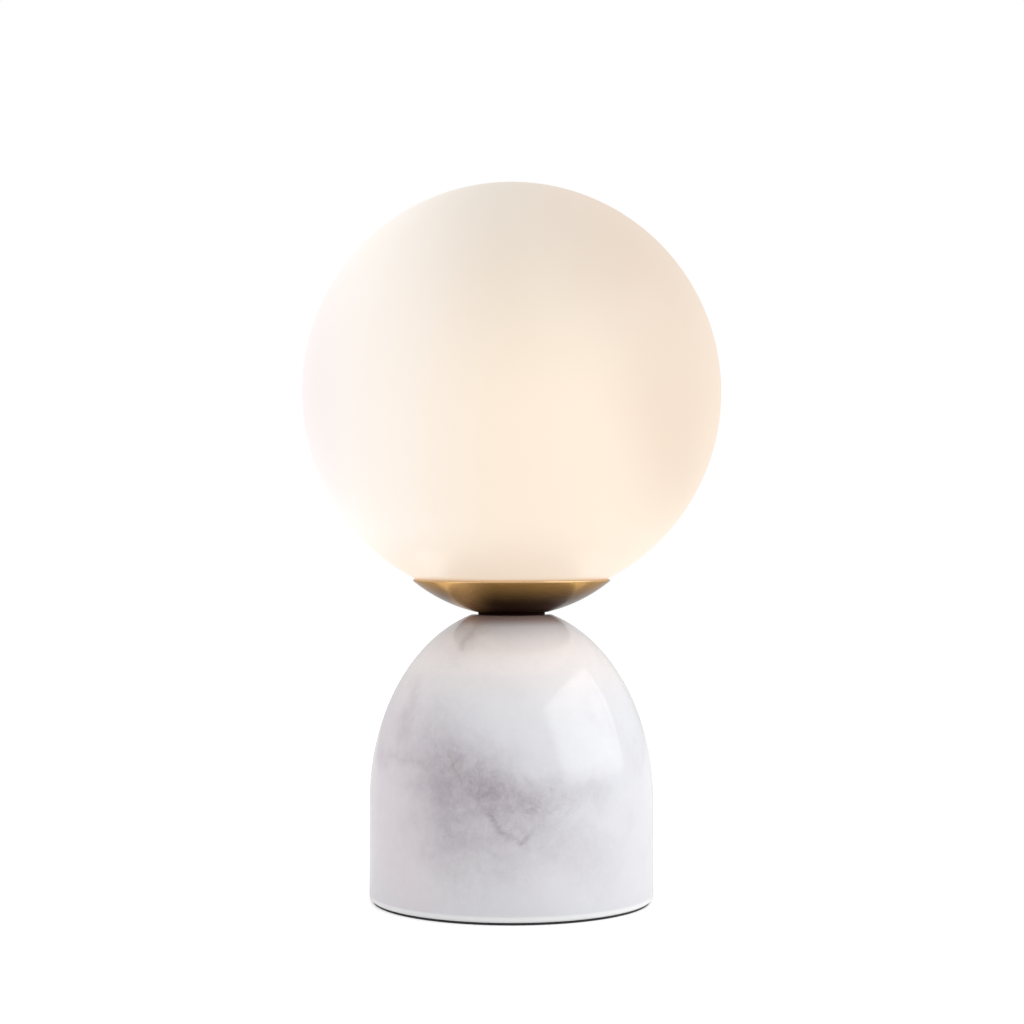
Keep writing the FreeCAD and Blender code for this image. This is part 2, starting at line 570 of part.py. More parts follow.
# ---- globe -------------------------------------------------------------------------------------
def glass_globe():
    """Blown opal ball of even wall; its mouth's edge is fire-polished to a full round."""
    inner = GLOBE_RADIUS - GLOBE_WALL
    middle = GLOBE_RADIUS - LIP_ROUND
    slope_r, slope_z = LIP_R / middle, (GLOBE_CENTRE - LIP_Z) / middle
    return (Section(GLOBE_RADIUS * slope_r, GLOBE_CENTRE - GLOBE_RADIUS * slope_z)
            .arc(0, GLOBE_CENTRE, GLOBE_RADIUS, GLOBE_CENTRE, (1, -1))
            .arc(0, GLOBE_CENTRE, 0, GLOBE_CENTRE + GLOBE_RADIUS, (1, 1))
            .line(0, GLOBE_CENTRE + inner)
            .arc(0, GLOBE_CENTRE, inner, GLOBE_CENTRE, (1, 1))
            .arc(0, GLOBE_CENTRE, inner * slope_r, GLOBE_CENTRE - inner * slope_z, (1, -1))
            .arc(LIP_R, LIP_Z, GLOBE_RADIUS * slope_r, GLOBE_CENTRE - GLOBE_RADIUS * slope_z,
                 (-slope_z, -slope_r)).revolved())


# ---- bulb holder -------------------------------------------------------------------------------
def holder_bracket():
    """Steel bracket: threaded collar on the tube and two arms that hold the ceramic by its flats."""
    mid_z, mid_y = BRACKET_BOTTOM + BRACKET_THICKNESS / 2, HOLDER_FLAT + BRACKET_THICKNESS / 2
    arm_top = BRACKET_BOTTOM + BRACKET_ARM_HEIGHT
    corners = [Vector(-mid_y, 0, arm_top), Vector(-mid_y, 0, mid_z),
               Vector(mid_y, 0, mid_z), Vector(mid_y, 0, arm_top)]
    strip = bent_strip(corners, [BRACKET_BEND, BRACKET_BEND], BRACKET_THICKNESS, BRACKET_WIDTH)
    strip.rotate(ORIGIN, UP, 90)
    collar = cylinder(TUBE_RADIUS + BRACKET_COLLAR_WALL, BRACKET_BOTTOM, TUBE_TOP)
    screw_way = rod(HOLDER_SCREW_RADIUS + SCREW_FIT,
                    Vector(0, -BRACKET_FACE - CUT_OVERRUN, HOLDER_SCREW_Z),
                    Vector(0, BRACKET_FACE + CUT_OVERRUN, HOLDER_SCREW_Z))
    return fused([strip, collar]).cut(cylinder(NUT_BORE_RADIUS, BRACKET_BOTTOM, TUBE_TOP).fuse(screw_way))


def holder_ceramic():
    """White ceramic socket with two pin slots, a guide groove, lead holes and two flats."""
    body = cylinder(HOLDER_RADIUS, HOLDER_BOTTOM, HOLDER_TOP)
    reach = HOLDER_RADIUS + CUT_OVERRUN
    body = body.common(block((-reach, -HOLDER_FLAT, HOLDER_BOTTOM), (reach, HOLDER_FLAT, HOLDER_TOP)))
    rims = [e for e in body.Edges if abs(e.BoundBox.ZMin - HOLDER_TOP) < TOUCHING]
    body = body.makeChamfer(HOLDER_EDGE_CHAMFER, rims)
    cuts = [block((-reach, -HOLDER_GROOVE_WIDTH / 2, HOLDER_TOP - HOLDER_GROOVE_DEPTH),
                  (reach, HOLDER_GROOVE_WIDTH / 2, HOLDER_TOP + CUT_OVERRUN))]
    for side in (-1, 1):
        centre = side * PIN_X
        cuts.append(block((centre - SLOT_WIDTH / 2, -SLOT_LENGTH / 2, SLOT_BOTTOM),
                          (centre + SLOT_WIDTH / 2, SLOT_LENGTH / 2, HOLDER_TOP)))
        cuts.append(cylinder(LEAD_RADIUS + LEAD_FIT, HOLDER_BOTTOM, SLOT_BOTTOM, side * LEAD_SPREAD))
        cuts.append(rod(HOLDER_SCREW_RADIUS + SCREW_FIT,
                        Vector(0, side * (HOLDER_FLAT - HOLDER_SCREW_DEPTH), HOLDER_SCREW_Z),
                        Vector(0, side * (HOLDER_FLAT + CUT_OVERRUN), HOLDER_SCREW_Z)))
    return body.cut(cuts[0].multiFuse(cuts[1:]))


def holder_contacts():
    """Two spring contacts: a foot over each lead's end and a bowed blade beside each pin."""
    blade_x = PIN_X + SLOT_WIDTH / 2 - CONTACT_THICKNESS / 2
    foot_z = SLOT_BOTTOM + CONTACT_THICKNESS / 2
    foot_x = PIN_X - SLOT_WIDTH / 2 + CONTACT_THICKNESS
    blade = bent_strip([Vector(foot_x, 0, foot_z), Vector(blade_x, 0, foot_z),
                        Vector(blade_x, 0, foot_z + CONTACT_BOW_START),
                        Vector(blade_x - CONTACT_BOW, 0, foot_z + CONTACT_BOW_HEIGHT),
                        Vector(blade_x, 0, foot_z + CONTACT_HEIGHT)],
                       [CONTACT_THICKNESS, 2 * CONTACT_THICKNESS, 2 * CONTACT_THICKNESS],
                       CONTACT_THICKNESS, CONTACT_WIDTH)
    twin = blade.copy()
    twin.rotate(ORIGIN, UP, 180)
    return Part.makeCompound([blade, twin])


def holder_screws():
    """Two pan-head screws through the bracket's arms into the ceramic."""
    screws = []
    for side in (-1, 1):
        out = BACK * side
        face = Vector(0, side * BRACKET_FACE, HOLDER_SCREW_Z)
        depth = BRACKET_THICKNESS + HOLDER_SCREW_DEPTH - SCREW_FIT
        shank = rod(HOLDER_SCREW_RADIUS, face - out * depth, face)
        head = slotted_head(HOLDER_SCREW_HEAD_RADIUS, HOLDER_SCREW_HEAD_HEIGHT, face, out)
        screws.append(shank.fuse(head))
    return Part.makeCompound(screws)


# ---- bulb --------------------------------------------------------------------------------------
def bulb_base():
    """White bulb base with a round spigot inside the envelope and holes for the pins."""
    half_x, half_y = BULB_BASE_LENGTH / 2, BULB_BASE_DEPTH / 2
    body = block((-half_x, -half_y, BULB_BOTTOM), (half_x, half_y, BULB_SHOULDER))
    uprights = [e for e in body.Edges if e.BoundBox.ZLength > BULB_BASE_HEIGHT / 2]
    body = body.makeFillet(BULB_BASE_ROUND, uprights)
    collar = cylinder(BULB_ENVELOPE_RADIUS, BULB_SHOULDER - BULB_SPIGOT_HEIGHT, BULB_SHOULDER)
    spigot = cylinder(BULB_SPIGOT_RADIUS, BULB_SHOULDER, LED_BOARD_BOTTOM)
    whole = fused([body, collar, spigot])
    for side_x in (-1, 1):
        for side_y in (-1, 1):
            whole = whole.cut(cylinder(PIN_WIRE_RADIUS + SCREW_FIT, BULB_BOTTOM, BULB_BOTTOM + PIN_ROOT,
                                       side_x * PIN_X, side_y * PIN_LOOP_RADIUS))
    return whole


def bulb_pins():
    """Two looped wire pins."""
    pins = []
    loop_z = BULB_BOTTOM - PIN_LENGTH + PIN_LOOP_RADIUS
    for side in (-1, 1):
        x = side * PIN_X
        top = BULB_BOTTOM + PIN_ROOT
        down, up = Vector(x, -PIN_LOOP_RADIUS, top), Vector(x, PIN_LOOP_RADIUS, top)
        low_1, low_2 = Vector(x, -PIN_LOOP_RADIUS, loop_z), Vector(x, PIN_LOOP_RADIUS, loop_z)
        path = Part.Wire([Part.makeLine(down, low_1),
                          Part.Arc(low_1, Vector(x, 0, loop_z - PIN_LOOP_RADIUS), low_2).toShape(),
                          Part.makeLine(low_2, up)])
        profile = Part.Wire(Part.makeCircle(PIN_WIRE_RADIUS, down, UP))
        pins.append(path.makePipeShell([profile], True, False))
    return Part.makeCompound(pins)


def bulb_envelope():
    """Frosted capsule: a straight tube closed by half a ball."""
    outer, inner = BULB_ENVELOPE_RADIUS, BULB_ENVELOPE_RADIUS - BULB_ENVELOPE_WALL
    dome_z = ENVELOPE_TOP - outer
    return (Section(inner, BULB_SHOULDER).line(outer, BULB_SHOULDER).line(outer, dome_z)
            .arc(0, dome_z, 0, ENVELOPE_TOP, (1, 1)).line(0, dome_z + inner)
            .arc(0, dome_z, inner, dome_z, (1, 1)).revolved())


def bulb_emitter():
    """Upright board with light-emitting chips on both faces."""
    half = LED_BOARD_WIDTH / 2
    chips = [block((-half, -LED_BOARD_THICKNESS / 2, LED_BOARD_BOTTOM),
                   (half, LED_BOARD_THICKNESS / 2, LED_BOARD_BOTTOM + LED_BOARD_HEIGHT))]
    spacing = LED_BOARD_HEIGHT / LED_ROWS
    for row in range(LED_ROWS):
        low = LED_BOARD_BOTTOM + spacing * (row + 0.5) - LED_SIZE / 2
        for face in (-1, 1):
            surface = face * LED_BOARD_THICKNESS / 2
            near, far = sorted((surface, surface + face * LED_THICKNESS))
            chips.append(block((-LED_SIZE / 2, near, low), (LED_SIZE / 2, far, low + LED_SIZE)))
    return fused(chips)


# ---- terminal strip and leads ------------------------------------------------------------------
def strip_screw_x():
    """The strip's fixing screw stands in the web beside the last pole."""
    return POLE_X[-1] - POLE_PITCH / 2


def terminal_screw_places():
    """Each pole's two screws, as (x, y)."""
    return [(x, STRIP_MIDDLE_Y + side * TERMINAL_SCREW_SPACING / 2) for x in POLE_X for side in (-1, 1)]


def terminal_strip():
    """Moulded strip: a housing for each pole, screw towers, and webs with the fixing hole."""
    half, top = POLE_WIDTH / 2, COVER_TOP + STRIP_TOWER_HEIGHT
    body = [block((x - half, STRIP_BACK_Y, COVER_TOP),
                  (x + half, STRIP_FRONT_Y, COVER_TOP + STRIP_BODY_HEIGHT)) for x in POLE_X]
    body.append(block((POLE_X[0], STRIP_MIDDLE_Y - STRIP_WEB_DEPTH / 2, COVER_TOP),
                      (POLE_X[-1], STRIP_MIDDLE_Y + STRIP_WEB_DEPTH / 2, COVER_TOP + STRIP_WEB_HEIGHT)))
    body += [cylinder(STRIP_TOWER_RADIUS, COVER_TOP, top, x, y) for x, y in terminal_screw_places()]
    ways = [rod(TERMINAL_RADIUS + SCREW_FIT, Vector(x, STRIP_BACK_Y, TERMINAL_Z),
                Vector(x, STRIP_FRONT_Y, TERMINAL_Z)) for x in POLE_X]
    ways += [cylinder(TERMINAL_SCREW_HEAD_RADIUS + SCREW_FIT, TERMINAL_Z, top, x, y)
             for x, y in terminal_screw_places()]
    ways.append(cylinder(STRIP_SCREW_RADIUS + SCREW_FIT, COVER_TOP, COVER_TOP + STRIP_WEB_HEIGHT,
                         strip_screw_x(), STRIP_MIDDLE_Y))
    ways.append(cylinder(STRIP_SCREW_HEAD_RADIUS + SCREW_FIT, COVER_TOP + STRIP_WEB_HEIGHT, top,
                         strip_screw_x(), STRIP_MIDDLE_Y))
    return fused(body).cut(ways[0].multiFuse(ways[1:]))


def terminal_inserts():
    """Brass barrels in the strip, cross-drilled for their screws."""
    inserts = []
    for x in POLE_X:
        start = Vector(x, STRIP_MIDDLE_Y - TERMINAL_LENGTH / 2, TERMINAL_Z)
        end = Vector(x, STRIP_MIDDLE_Y + TERMINAL_LENGTH / 2, TERMINAL_Z)
        barrel = rod(TERMINAL_RADIUS, start, end).cut(rod(TERMINAL_BORE_RADIUS, start, end))
        for screw_x, y in terminal_screw_places():
            if screw_x == x:
                barrel = barrel.cut(cylinder(TERMINAL_SCREW_RADIUS + SCREW_FIT, TERMINAL_Z,
                                             TERMINAL_Z + TERMINAL_RADIUS, x, y))
        inserts.append(barrel)
    return Part.makeCompound(inserts)


def terminal_screws():
    """Slotted screws that press on the wires; each stops at the top of its wire."""
    screws = []
    wire_top = TERMINAL_Z + LEAD_RADIUS + SCREW_FIT
    head_bottom = TERMINAL_Z + TERMINAL_RADIUS + SCREW_FIT
    for x, y in terminal_screw_places():
        shank = cylinder(TERMINAL_SCREW_RADIUS, wire_top, head_bottom, x, y)
        head = slotted_head(TERMINAL_SCREW_HEAD_RADIUS, TERMINAL_SCREW_HEAD_HEIGHT,
                            Vector(x, y, head_bottom), UP)
        screws.append(shank.fuse(head))
    return Part.makeCompound(screws)


def strip_screw():
    """Screw that holds the terminal strip down on the cover."""
    x, head_bottom = strip_screw_x(), COVER_TOP + STRIP_WEB_HEIGHT
    shank = cylinder(STRIP_SCREW_RADIUS, MARBLE_BOTTOM, head_bottom, x, STRIP_MIDDLE_Y)
    head = slotted_head(STRIP_SCREW_HEAD_RADIUS, STRIP_SCREW_HEAD_HEIGHT,
                        Vector(x, STRIP_MIDDLE_Y, head_bottom), UP)
    return shank.fuse(head)


def lead(spread, pole_x):
    """One insulated lead from the ceramic down the tube and along the cover into its terminal."""
    into_terminal = STRIP_FRONT_Y - LEAD_INSERTION
    turn_y = STRIP_FRONT_Y / 2
    points = [Vector(spread, 0, HOLDER_BOTTOM + LEAD_INSERTION), Vector(spread, 0, TERMINAL_Z),
              Vector(pole_x, turn_y, TERMINAL_Z), Vector(pole_x, into_terminal, TERMINAL_Z)]
    return wire_along(points, LEAD_RADIUS)


def lead_live():
    """Lead to the first pole."""
    return lead(-LEAD_SPREAD, POLE_X[0])


def lead_neutral():
    """Lead to the middle pole."""
    return lead(LEAD_SPREAD, POLE_X[POLES // 2])


def earth_lead():
    """Lead from the ring tag's barrel down the pocket's side to the last pole."""
    start_x = EARTH_BARREL_X + EARTH_BARREL_LENGTH - EARTH_LEAD_CRIMP
    drop_x = start_x + EARTH_LEAD_REACH
    pole_x = POLE_X[-1]
    points = [Vector(start_x, 0, EARTH_BARREL_Z), Vector(drop_x, 0, EARTH_BARREL_Z),
              Vector(drop_x, 0, TERMINAL_Z), Vector(pole_x, STRIP_FRONT_Y / 2, TERMINAL_Z),
              Vector(pole_x, STRIP_FRONT_Y - LEAD_INSERTION, TERMINAL_Z)]
    return wire_along(points, LEAD_RADIUS)


# ---- the assembly ------------------------------------------------------------------------------
PIECES = [base_pad, cover_plate, marble_base, cord_bush,
          centre_tube, clamp_washer, earth_tag, lock_washer, lower_nut,
          seat_washer, brass_dish, spring_clip, top_washer, upper_nut, globe_gasket,
          holder_bracket, holder_ceramic, holder_contacts, holder_screws,
          glass_globe,
          bulb_base, bulb_pins, bulb_envelope, bulb_emitter,
          terminal_strip, terminal_inserts, terminal_screws, strip_screw,
          lead_live, lead_neutral, earth_lead]


def main():
    """Writes one STEP file for each piece."""
    os.makedirs("parts", exist_ok=True)
    for piece in PIECES:
        shape = piece()
        if not shape.isValid() or not shape.Solids:
            raise ValueError(f"{piece.__name__} is not a valid solid")
        shape.exportStep(f"parts/{piece.__name__}.step")
        box = shape.BoundBox
        print(f"{piece.__name__:18s} solids {len(shape.Solids)}  volume {shape.Volume:10.1f} mm3"
              f"  z {box.ZMin:7.2f} to {box.ZMax:7.2f}  width {box.XLength:6.2f} x {box.YLength:6.2f}")


main()
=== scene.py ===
"""Looks of the glass globe table lamp: finishes, finely turned pieces, studio and camera.

Metres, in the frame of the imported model: +Z up, the lamp stands on Z = 0 on its own axis, and its
front is -Y. Pieces that show are rebuilt here with smooth turned surfaces, soft edges and a thread.
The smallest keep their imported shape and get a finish.
"""

import json
import logging
import math
from collections.abc import Callable
from dataclasses import dataclass
from enum import Enum

import bmesh
import bpy
from mathutils import Euler, Matrix, Vector


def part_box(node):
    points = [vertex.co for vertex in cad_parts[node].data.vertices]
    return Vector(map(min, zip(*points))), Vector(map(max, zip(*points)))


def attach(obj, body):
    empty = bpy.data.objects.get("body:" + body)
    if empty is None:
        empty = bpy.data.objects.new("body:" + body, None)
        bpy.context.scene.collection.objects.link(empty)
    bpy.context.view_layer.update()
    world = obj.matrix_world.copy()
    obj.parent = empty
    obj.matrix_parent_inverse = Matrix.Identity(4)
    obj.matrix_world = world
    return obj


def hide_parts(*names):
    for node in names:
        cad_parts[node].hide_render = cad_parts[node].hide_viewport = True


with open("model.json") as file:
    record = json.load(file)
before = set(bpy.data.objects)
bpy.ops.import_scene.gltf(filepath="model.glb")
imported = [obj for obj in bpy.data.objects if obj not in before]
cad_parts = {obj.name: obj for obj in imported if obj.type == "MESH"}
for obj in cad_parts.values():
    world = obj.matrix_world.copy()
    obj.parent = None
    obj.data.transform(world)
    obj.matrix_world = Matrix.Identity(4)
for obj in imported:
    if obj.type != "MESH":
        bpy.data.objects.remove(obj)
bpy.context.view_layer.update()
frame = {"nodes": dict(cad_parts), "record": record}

PHOTO_PIXELS = 1024
MILLI = 0.001
SLOTS = {part["node"]: part["material_slot"] for part in frame["record"]["subparts"]}
Colour = tuple[float, float, float]
Point = tuple[float, float, float]
Span = tuple[float, float]
BLACK: Colour = (0.0, 0.0, 0.0)
WHITE: Colour = (1.0, 1.0, 1.0)
log = logging.getLogger("lamp")


class Body(Enum):
    """The three bodies that move apart."""

    STAND = "stand"
    GLOBE = "globe"
    BULB = "bulb"


class Round(Enum):
    """How many steps go round a turned piece."""

    BROAD = 192
    PAD = 160
    NARROW = 96
    SLIM = 64
    DRILL = 48


class Mixed(Enum):
    """What a Mix node mixes: its data type, and how its sockets' identifiers end."""

    COLOUR = ("RGBA", "Color")
    NUMBER = ("FLOAT", "Float")


# ---- shader building ---------------------------------------------------------------------------
def operator(operation: str, reflected: bool = False) -> Callable[["Term", "Feed"], "Term"]:
    """Makes a method that adds one Math node.

    Args:
        operation: the node's operation.
        reflected: whether the Term is the node's second value.

    Returns:
        The method.
    """

    def method(self: "Term", other: "Feed") -> "Term":
        """Adds the node."""
        return self.maths(operation, *((other, self) if reflected else (self, other)))

    return method


class Term:
    """A value in a shader. Arithmetic on it adds Math nodes."""

    __add__, __radd__ = operator("ADD"), operator("ADD", reflected=True)
    __sub__, __rsub__ = operator("SUBTRACT"), operator("SUBTRACT", reflected=True)
    __mul__, __rmul__ = operator("MULTIPLY"), operator("MULTIPLY", reflected=True)
    __truediv__, __rtruediv__ = operator("DIVIDE"), operator("DIVIDE", reflected=True)
    __pow__, __rpow__ = operator("POWER"), operator("POWER", reflected=True)

    def __init__(self, builder: "ShaderTree", socket: bpy.types.NodeSocket) -> None:
        """Wraps a socket of the builder's tree."""
        self.builder = builder
        self.socket = socket

    def maths(self, operation: str, *values: "Feed") -> "Term":
        """Adds one Math node fed by the values in order."""
        settings = {"operation": operation}
        return self.builder.node("ShaderNodeMath", settings, dict(enumerate(values)))

    def __abs__(self) -> "Term":
        """The number without its sign."""
        return self.maths("ABSOLUTE", self)

    def capped(self) -> "Term":
        """The number, or 1 where it is more."""
        return self.maths("MINIMUM", self, 1.0)

    def sine(self) -> "Term":
        """The sine of the number, in radians."""
        return self.maths("SINE", self)

    def fade(self, start: float, stop: float, low: float = 0.0, high: float = 1.0) -> "Term":
        """Goes smoothly from low to high as the number goes from start to stop.

        Args:
            start, stop: the ends of the change; stop may be the lower.
            low, high: what it gives at them.

        Returns:
            The faded number.
        """
        return self.builder.node("ShaderNodeMapRange", {"interpolation_type": "SMOOTHSTEP"}, {
            "Value": self, "From Min": start, "From Max": stop, "To Min": low, "To Max": high})


Feed = Term | float | tuple | str


@dataclass(frozen=True)
class Noise:
    """One smooth noise pattern.

    Args:
        scale: waves in a metre.
        detail: how many finer layers are added.
        roughness: how strong the finer layers are.
        warp: how far the pattern is bent on itself.
    """

    scale: float
    detail: float = 3.0
    roughness: float = 0.5
    warp: float = 0.0


class ShaderTree:
    """Adds nodes to a shader tree."""

    def __init__(self, tree: bpy.types.NodeTree, coordinates: str) -> None:
        """Works on a tree, with places read from one output of Texture Coordinate."""
        self.tree = tree
        self.place = self.node("ShaderNodeTexCoord", output=coordinates)

    def node(self, kind: str, settings: dict | None = None, feeds: dict | None = None,
             output: int | str = 0) -> Term:
        """Adds a node.

        Args:
            kind: the node's type name.
            settings: the node's own properties, set first.
            feeds: socket name or number to a value or a Term.
            output: which output to return.

        Returns:
            The chosen output.
        """
        node = self.tree.nodes.new(kind)
        for key, value in (settings or {}).items():
            setattr(node, key, value)
        for key, value in (feeds or {}).items():
            self.feed(node.inputs[key], value)
        return Term(self, node.outputs[output])

    def feed(self, socket: bpy.types.NodeSocket, value: Feed) -> None:
        """Links a Term to a socket, or sets the socket to a plain value.

        Args:
            socket: the input socket.
            value: a Term, a number, a vector or a colour.
        """
        if isinstance(value, Term):
            self.tree.links.new(value.socket, socket)
        elif isinstance(value, tuple) and socket.type == "RGBA":
            socket.default_value = (*value, 1.0)
        else:
            socket.default_value = value

    def axes(self, vector: Term | None = None) -> tuple[Term, Term, Term]:
        """Splits a vector into x, y and z.

        Args:
            vector: the vector, or None for the place.

        Returns:
            The three numbers.
        """
        node = self.tree.nodes.new("ShaderNodeSeparateXYZ")
        self.feed(node.inputs[0], vector or self.place)
        return tuple(Term(self, output) for output in node.outputs)

    def vector(self, operation: str, *values: Feed, output: str = "Vector") -> Term:
        """Adds one Vector Math node."""
        feeds = dict(enumerate(values))
        return self.node("ShaderNodeVectorMath", {"operation": operation}, feeds, output)

    def mix(self, low: Feed, high: Feed, factor: Feed, kind: Mixed = Mixed.COLOUR) -> Term:
        """Mixes two values.

        Args:
            low, high: the values where the factor is 0 and 1.
            factor: how much of the second is taken.
            kind: whether they are colours or numbers.

        Returns:
            The mixture.
        """
        node = self.tree.nodes.new("ShaderNodeMix")
        node.data_type, end = kind.value
        inputs = {socket.identifier: socket for socket in node.inputs}
        outputs = {socket.identifier: socket for socket in node.outputs}
        for label, value in (("Factor_Float", factor), (f"A_{end}", low), (f"B_{end}", high)):
            self.feed(inputs[label], value)
        return Term(self, outputs[f"Result_{end}"])

    def noise(self, noise: Noise, at: Term | None = None, output: str = "Fac") -> Term:
        """Lays noise on the object.

        Args:
            noise: its settings.
            at: where it is read, or None for the place itself.
            output: "Fac" for a number of about 0 to 1, "Color" for a vector of three.

        Returns:
            The noise.
        """
        return self.node("ShaderNodeTexNoise", {"noise_dimensions": "3D"}, {
            "Vector": at or self.place, "Scale": noise.scale, "Detail": noise.detail,
            "Roughness": noise.roughness, "Distortion": noise.warp}, output)


class Recipe(ShaderTree):
    """One material, built round its Principled shader."""

    def __init__(self, name: str) -> None:
        """Starts the material.

        Args:
            name: its name.
        """
        self.material = bpy.data.materials.new(name)
        self.material.use_nodes = True
        super().__init__(self.material.node_tree, "Object")
        self.shader = self.tree.nodes["Principled BSDF"]

    def set(self, **sockets: Feed) -> None:
        """Feeds the shader's sockets, named with underscores for spaces."""
        for key, value in sockets.items():
            self.feed(self.shader.inputs[key.replace("_", " ")], value)

    def bump(self, height: Term, depth: float, strength: float = 1.0) -> None:
        """Feeds Normal from a height of about 0 to 1 that is depth metres tall."""
        feeds = {"Strength": strength, "Distance": depth, "Height": height}
        self.set(Normal=self.node("ShaderNodeBump", feeds=feeds, output="Normal"))


@dataclass(frozen=True)
class Band:
    """A colour that comes in along an axis.

    Args:
        colour: linear colour.
        start: where it begins, in metres.
        full: where it is fullest.
        weight: how strong it is there, 0 to 1.
    """

    colour: Colour
    start: float
    full: float
    weight: float = 1.0

    def over(self, recipe: Recipe, base: Feed, along: Term) -> Term:
        """Lays the band over a base colour, along a number."""
        return recipe.mix(base, self.colour, along.fade(self.start, self.full) * self.weight)


# ---- finishes ----------------------------------------------------------------------------------
@dataclass(frozen=True)
class Finish:
    """A plain surface with mottled colour and gloss and a fine grain.

    Args:
        name: the material's name.
        colour: linear base colour.
        slot: the record's material slot.
        metallic: 0 or 1.
        roughness: middle roughness; gloss_spread is added and taken away over the surface.
        grain: size of the grain in metres, and grain_depth its height.
        shade: how far the colour darkens in the mottling's hollows.
        specular: how much a non-metal mirrors; 0.5 is plain.
        edge_tint: tint of what is mirrored at a glancing angle.
    """

    name: str
    colour: Colour
    slot: str
    metallic: float = 0.0
    roughness: float = 0.4
    gloss_spread: float = 0.06
    grain: float = 0.0006
    grain_depth: float = 0.00001
    shade: float = 0.12
    specular: float = 0.5
    edge_tint: Colour = WHITE

    GRAINS_IN_MOTTLE = 12
    MOTTLE_DETAIL = 4.0
    GRAIN_DETAIL = 2.0

    def material(self) -> bpy.types.Material:
        """Builds the material.

        Returns:
            The material.
        """
        recipe = Recipe(self.name)
        mottle = recipe.noise(Noise(1 / (self.grain * self.GRAINS_IN_MOTTLE), self.MOTTLE_DETAIL))
        darker = tuple(channel * (1 - self.shade) for channel in self.colour)
        recipe.set(Base_Color=recipe.mix(darker, self.colour, mottle), Metallic=self.metallic,
                   Roughness=self.roughness + (mottle - 0.5) * (2 * self.gloss_spread),
                   Specular_IOR_Level=self.specular, Specular_Tint=self.edge_tint)
        recipe.bump(self.relief(recipe), self.grain_depth)
        self.extra(recipe)
        return recipe.material

    def relief(self, recipe: Recipe) -> Term:
        """The grain's height."""
        return recipe.noise(Noise(1 / self.grain, self.GRAIN_DETAIL))

    def extra(self, recipe: Recipe) -> None:
        """Anything that one finish has beyond the others."""


@dataclass(frozen=True)
class TurnedMetal(Finish):
    """Metal with fine rings left by turning or spinning about the lamp's axis.

    Args:
        ring_pitch: distance between rings in metres.
    """

    ring_pitch: float = 0.0004

    def relief(self, recipe: Recipe) -> Term:
        """Rings of uneven depth about the axis.

        Args:
            recipe: the material being built.

        Returns:
            Their height.
        """
        x, y, z = recipe.axes()
        radius = (x * x + y * y) ** 0.5
        feeds = {"X": radius / self.ring_pitch, "Y": z / self.ring_pitch}
        along = recipe.node("ShaderNodeCombineXYZ", feeds=feeds)
        return recipe.noise(Noise(1.0, self.GRAIN_DETAIL), at=along)


@dataclass(frozen=True)
class BrushedBrass(TurnedMetal):
    """Antique brass: spinning rings, tarnish and painted shade at the foot, painted rim and streak.

    Args:
        patina_and_shade: the foot's colour, partly tarnished metal and partly painted shade.
            clear, foot: heights between which that darkening goes from none to full.
        rim: the rim's brighter colour, a painted highlight.
        bowl_centre: height of the middle of the ball that the bowl is part of.
        bowl_skin: radii about it between which the wall goes from its inner to its outer face.
        clouds: noise of the uneven tarnish.
        wander: how far the patina's upper edge wanders, in metres.
        cloud_shade: how dark the metal is in its clouds.
        dulling: how far the darkening at the foot takes the metal's mirror away.
        drawn_out: how far the rings draw the gloss out up and down the bowl, 0 to 1.
        painted_streak: the colour of a painted reflection streak down the left of the bowl.
            streak_right, streak_left: places along X between which that colour comes in and goes
                out.
        streak_weight: how strong it is, and streak_patches how uneven.
    """

    # Darker towards the foot: partly tarnish, partly painted shade mirrored from under the bowl.
    patina_and_shade: Colour = (0.014, 0.004, 0.001)
    clear: float = 0.1190
    foot: float = 0.1060
    # Painted highlight: a brighter colour on the rim.
    rim: Band = Band((0.95, 0.68, 0.41), 0.11425, 0.1149)
    bowl_centre: float = 0.157709
    bowl_skin: Span = (0.0553, 0.0557)
    clouds: Noise = Noise(70.0, 3.0, 0.55, 0.4)
    wander: float = 0.0016
    cloud_shade: float = 0.8
    dulling: float = 0.7
    drawn_out: float = 0.85
    # Painted reflection: a brighter streak down the left of the bowl.
    painted_streak: Colour = (0.98, 0.60, 0.27)
    streak_right: Span = (-0.0050, -0.0165)
    streak_left: Span = (-0.0250, -0.0170)
    streak_weight: float = 0.42
    streak_patches: float = 0.4

    QUARTER_TURN = 0.25

    def extra(self, recipe: Recipe) -> None:
        """Lays tarnish and painted shade low on the outer face, uneven at its upper edge,
        and the painted highlights.

        Args:
            recipe: the material being built.
        """
        x, _, z = recipe.axes()
        clouds = recipe.noise(self.clouds)
        centre = (0.0, 0.0, self.bowl_centre)
        away = recipe.vector("DISTANCE", recipe.place, centre, output="Value")
        # Painted reflection: the streak on the left, which also clears the darkening at the foot
        # there.
        painted_streak = x.fade(*self.streak_right) * x.fade(*self.streak_left) * self.streak_weight
        painted_streak = painted_streak * ((clouds - 0.5) * self.streak_patches + 1.0)
        # Darker towards the foot: partly tarnish, partly painted shade.
        depth = (z + (clouds - 0.5) * self.wander).fade(self.clear, self.foot)
        depth = depth * away.fade(*self.bowl_skin) * (1.0 - painted_streak)
        shaded = tuple(channel * self.cloud_shade for channel in self.colour)
        metal = recipe.mix(recipe.mix(self.colour, shaded, clouds), self.painted_streak, painted_streak)
        aged = recipe.mix(metal, self.patina_and_shade, depth)
        # The rim's band is a painted highlight.
        recipe.set(Base_Color=self.rim.over(recipe, aged, z), Metallic=1.0 - depth * self.dulling,
                   Anisotropic=self.drawn_out, Anisotropic_Rotation=self.QUARTER_TURN)


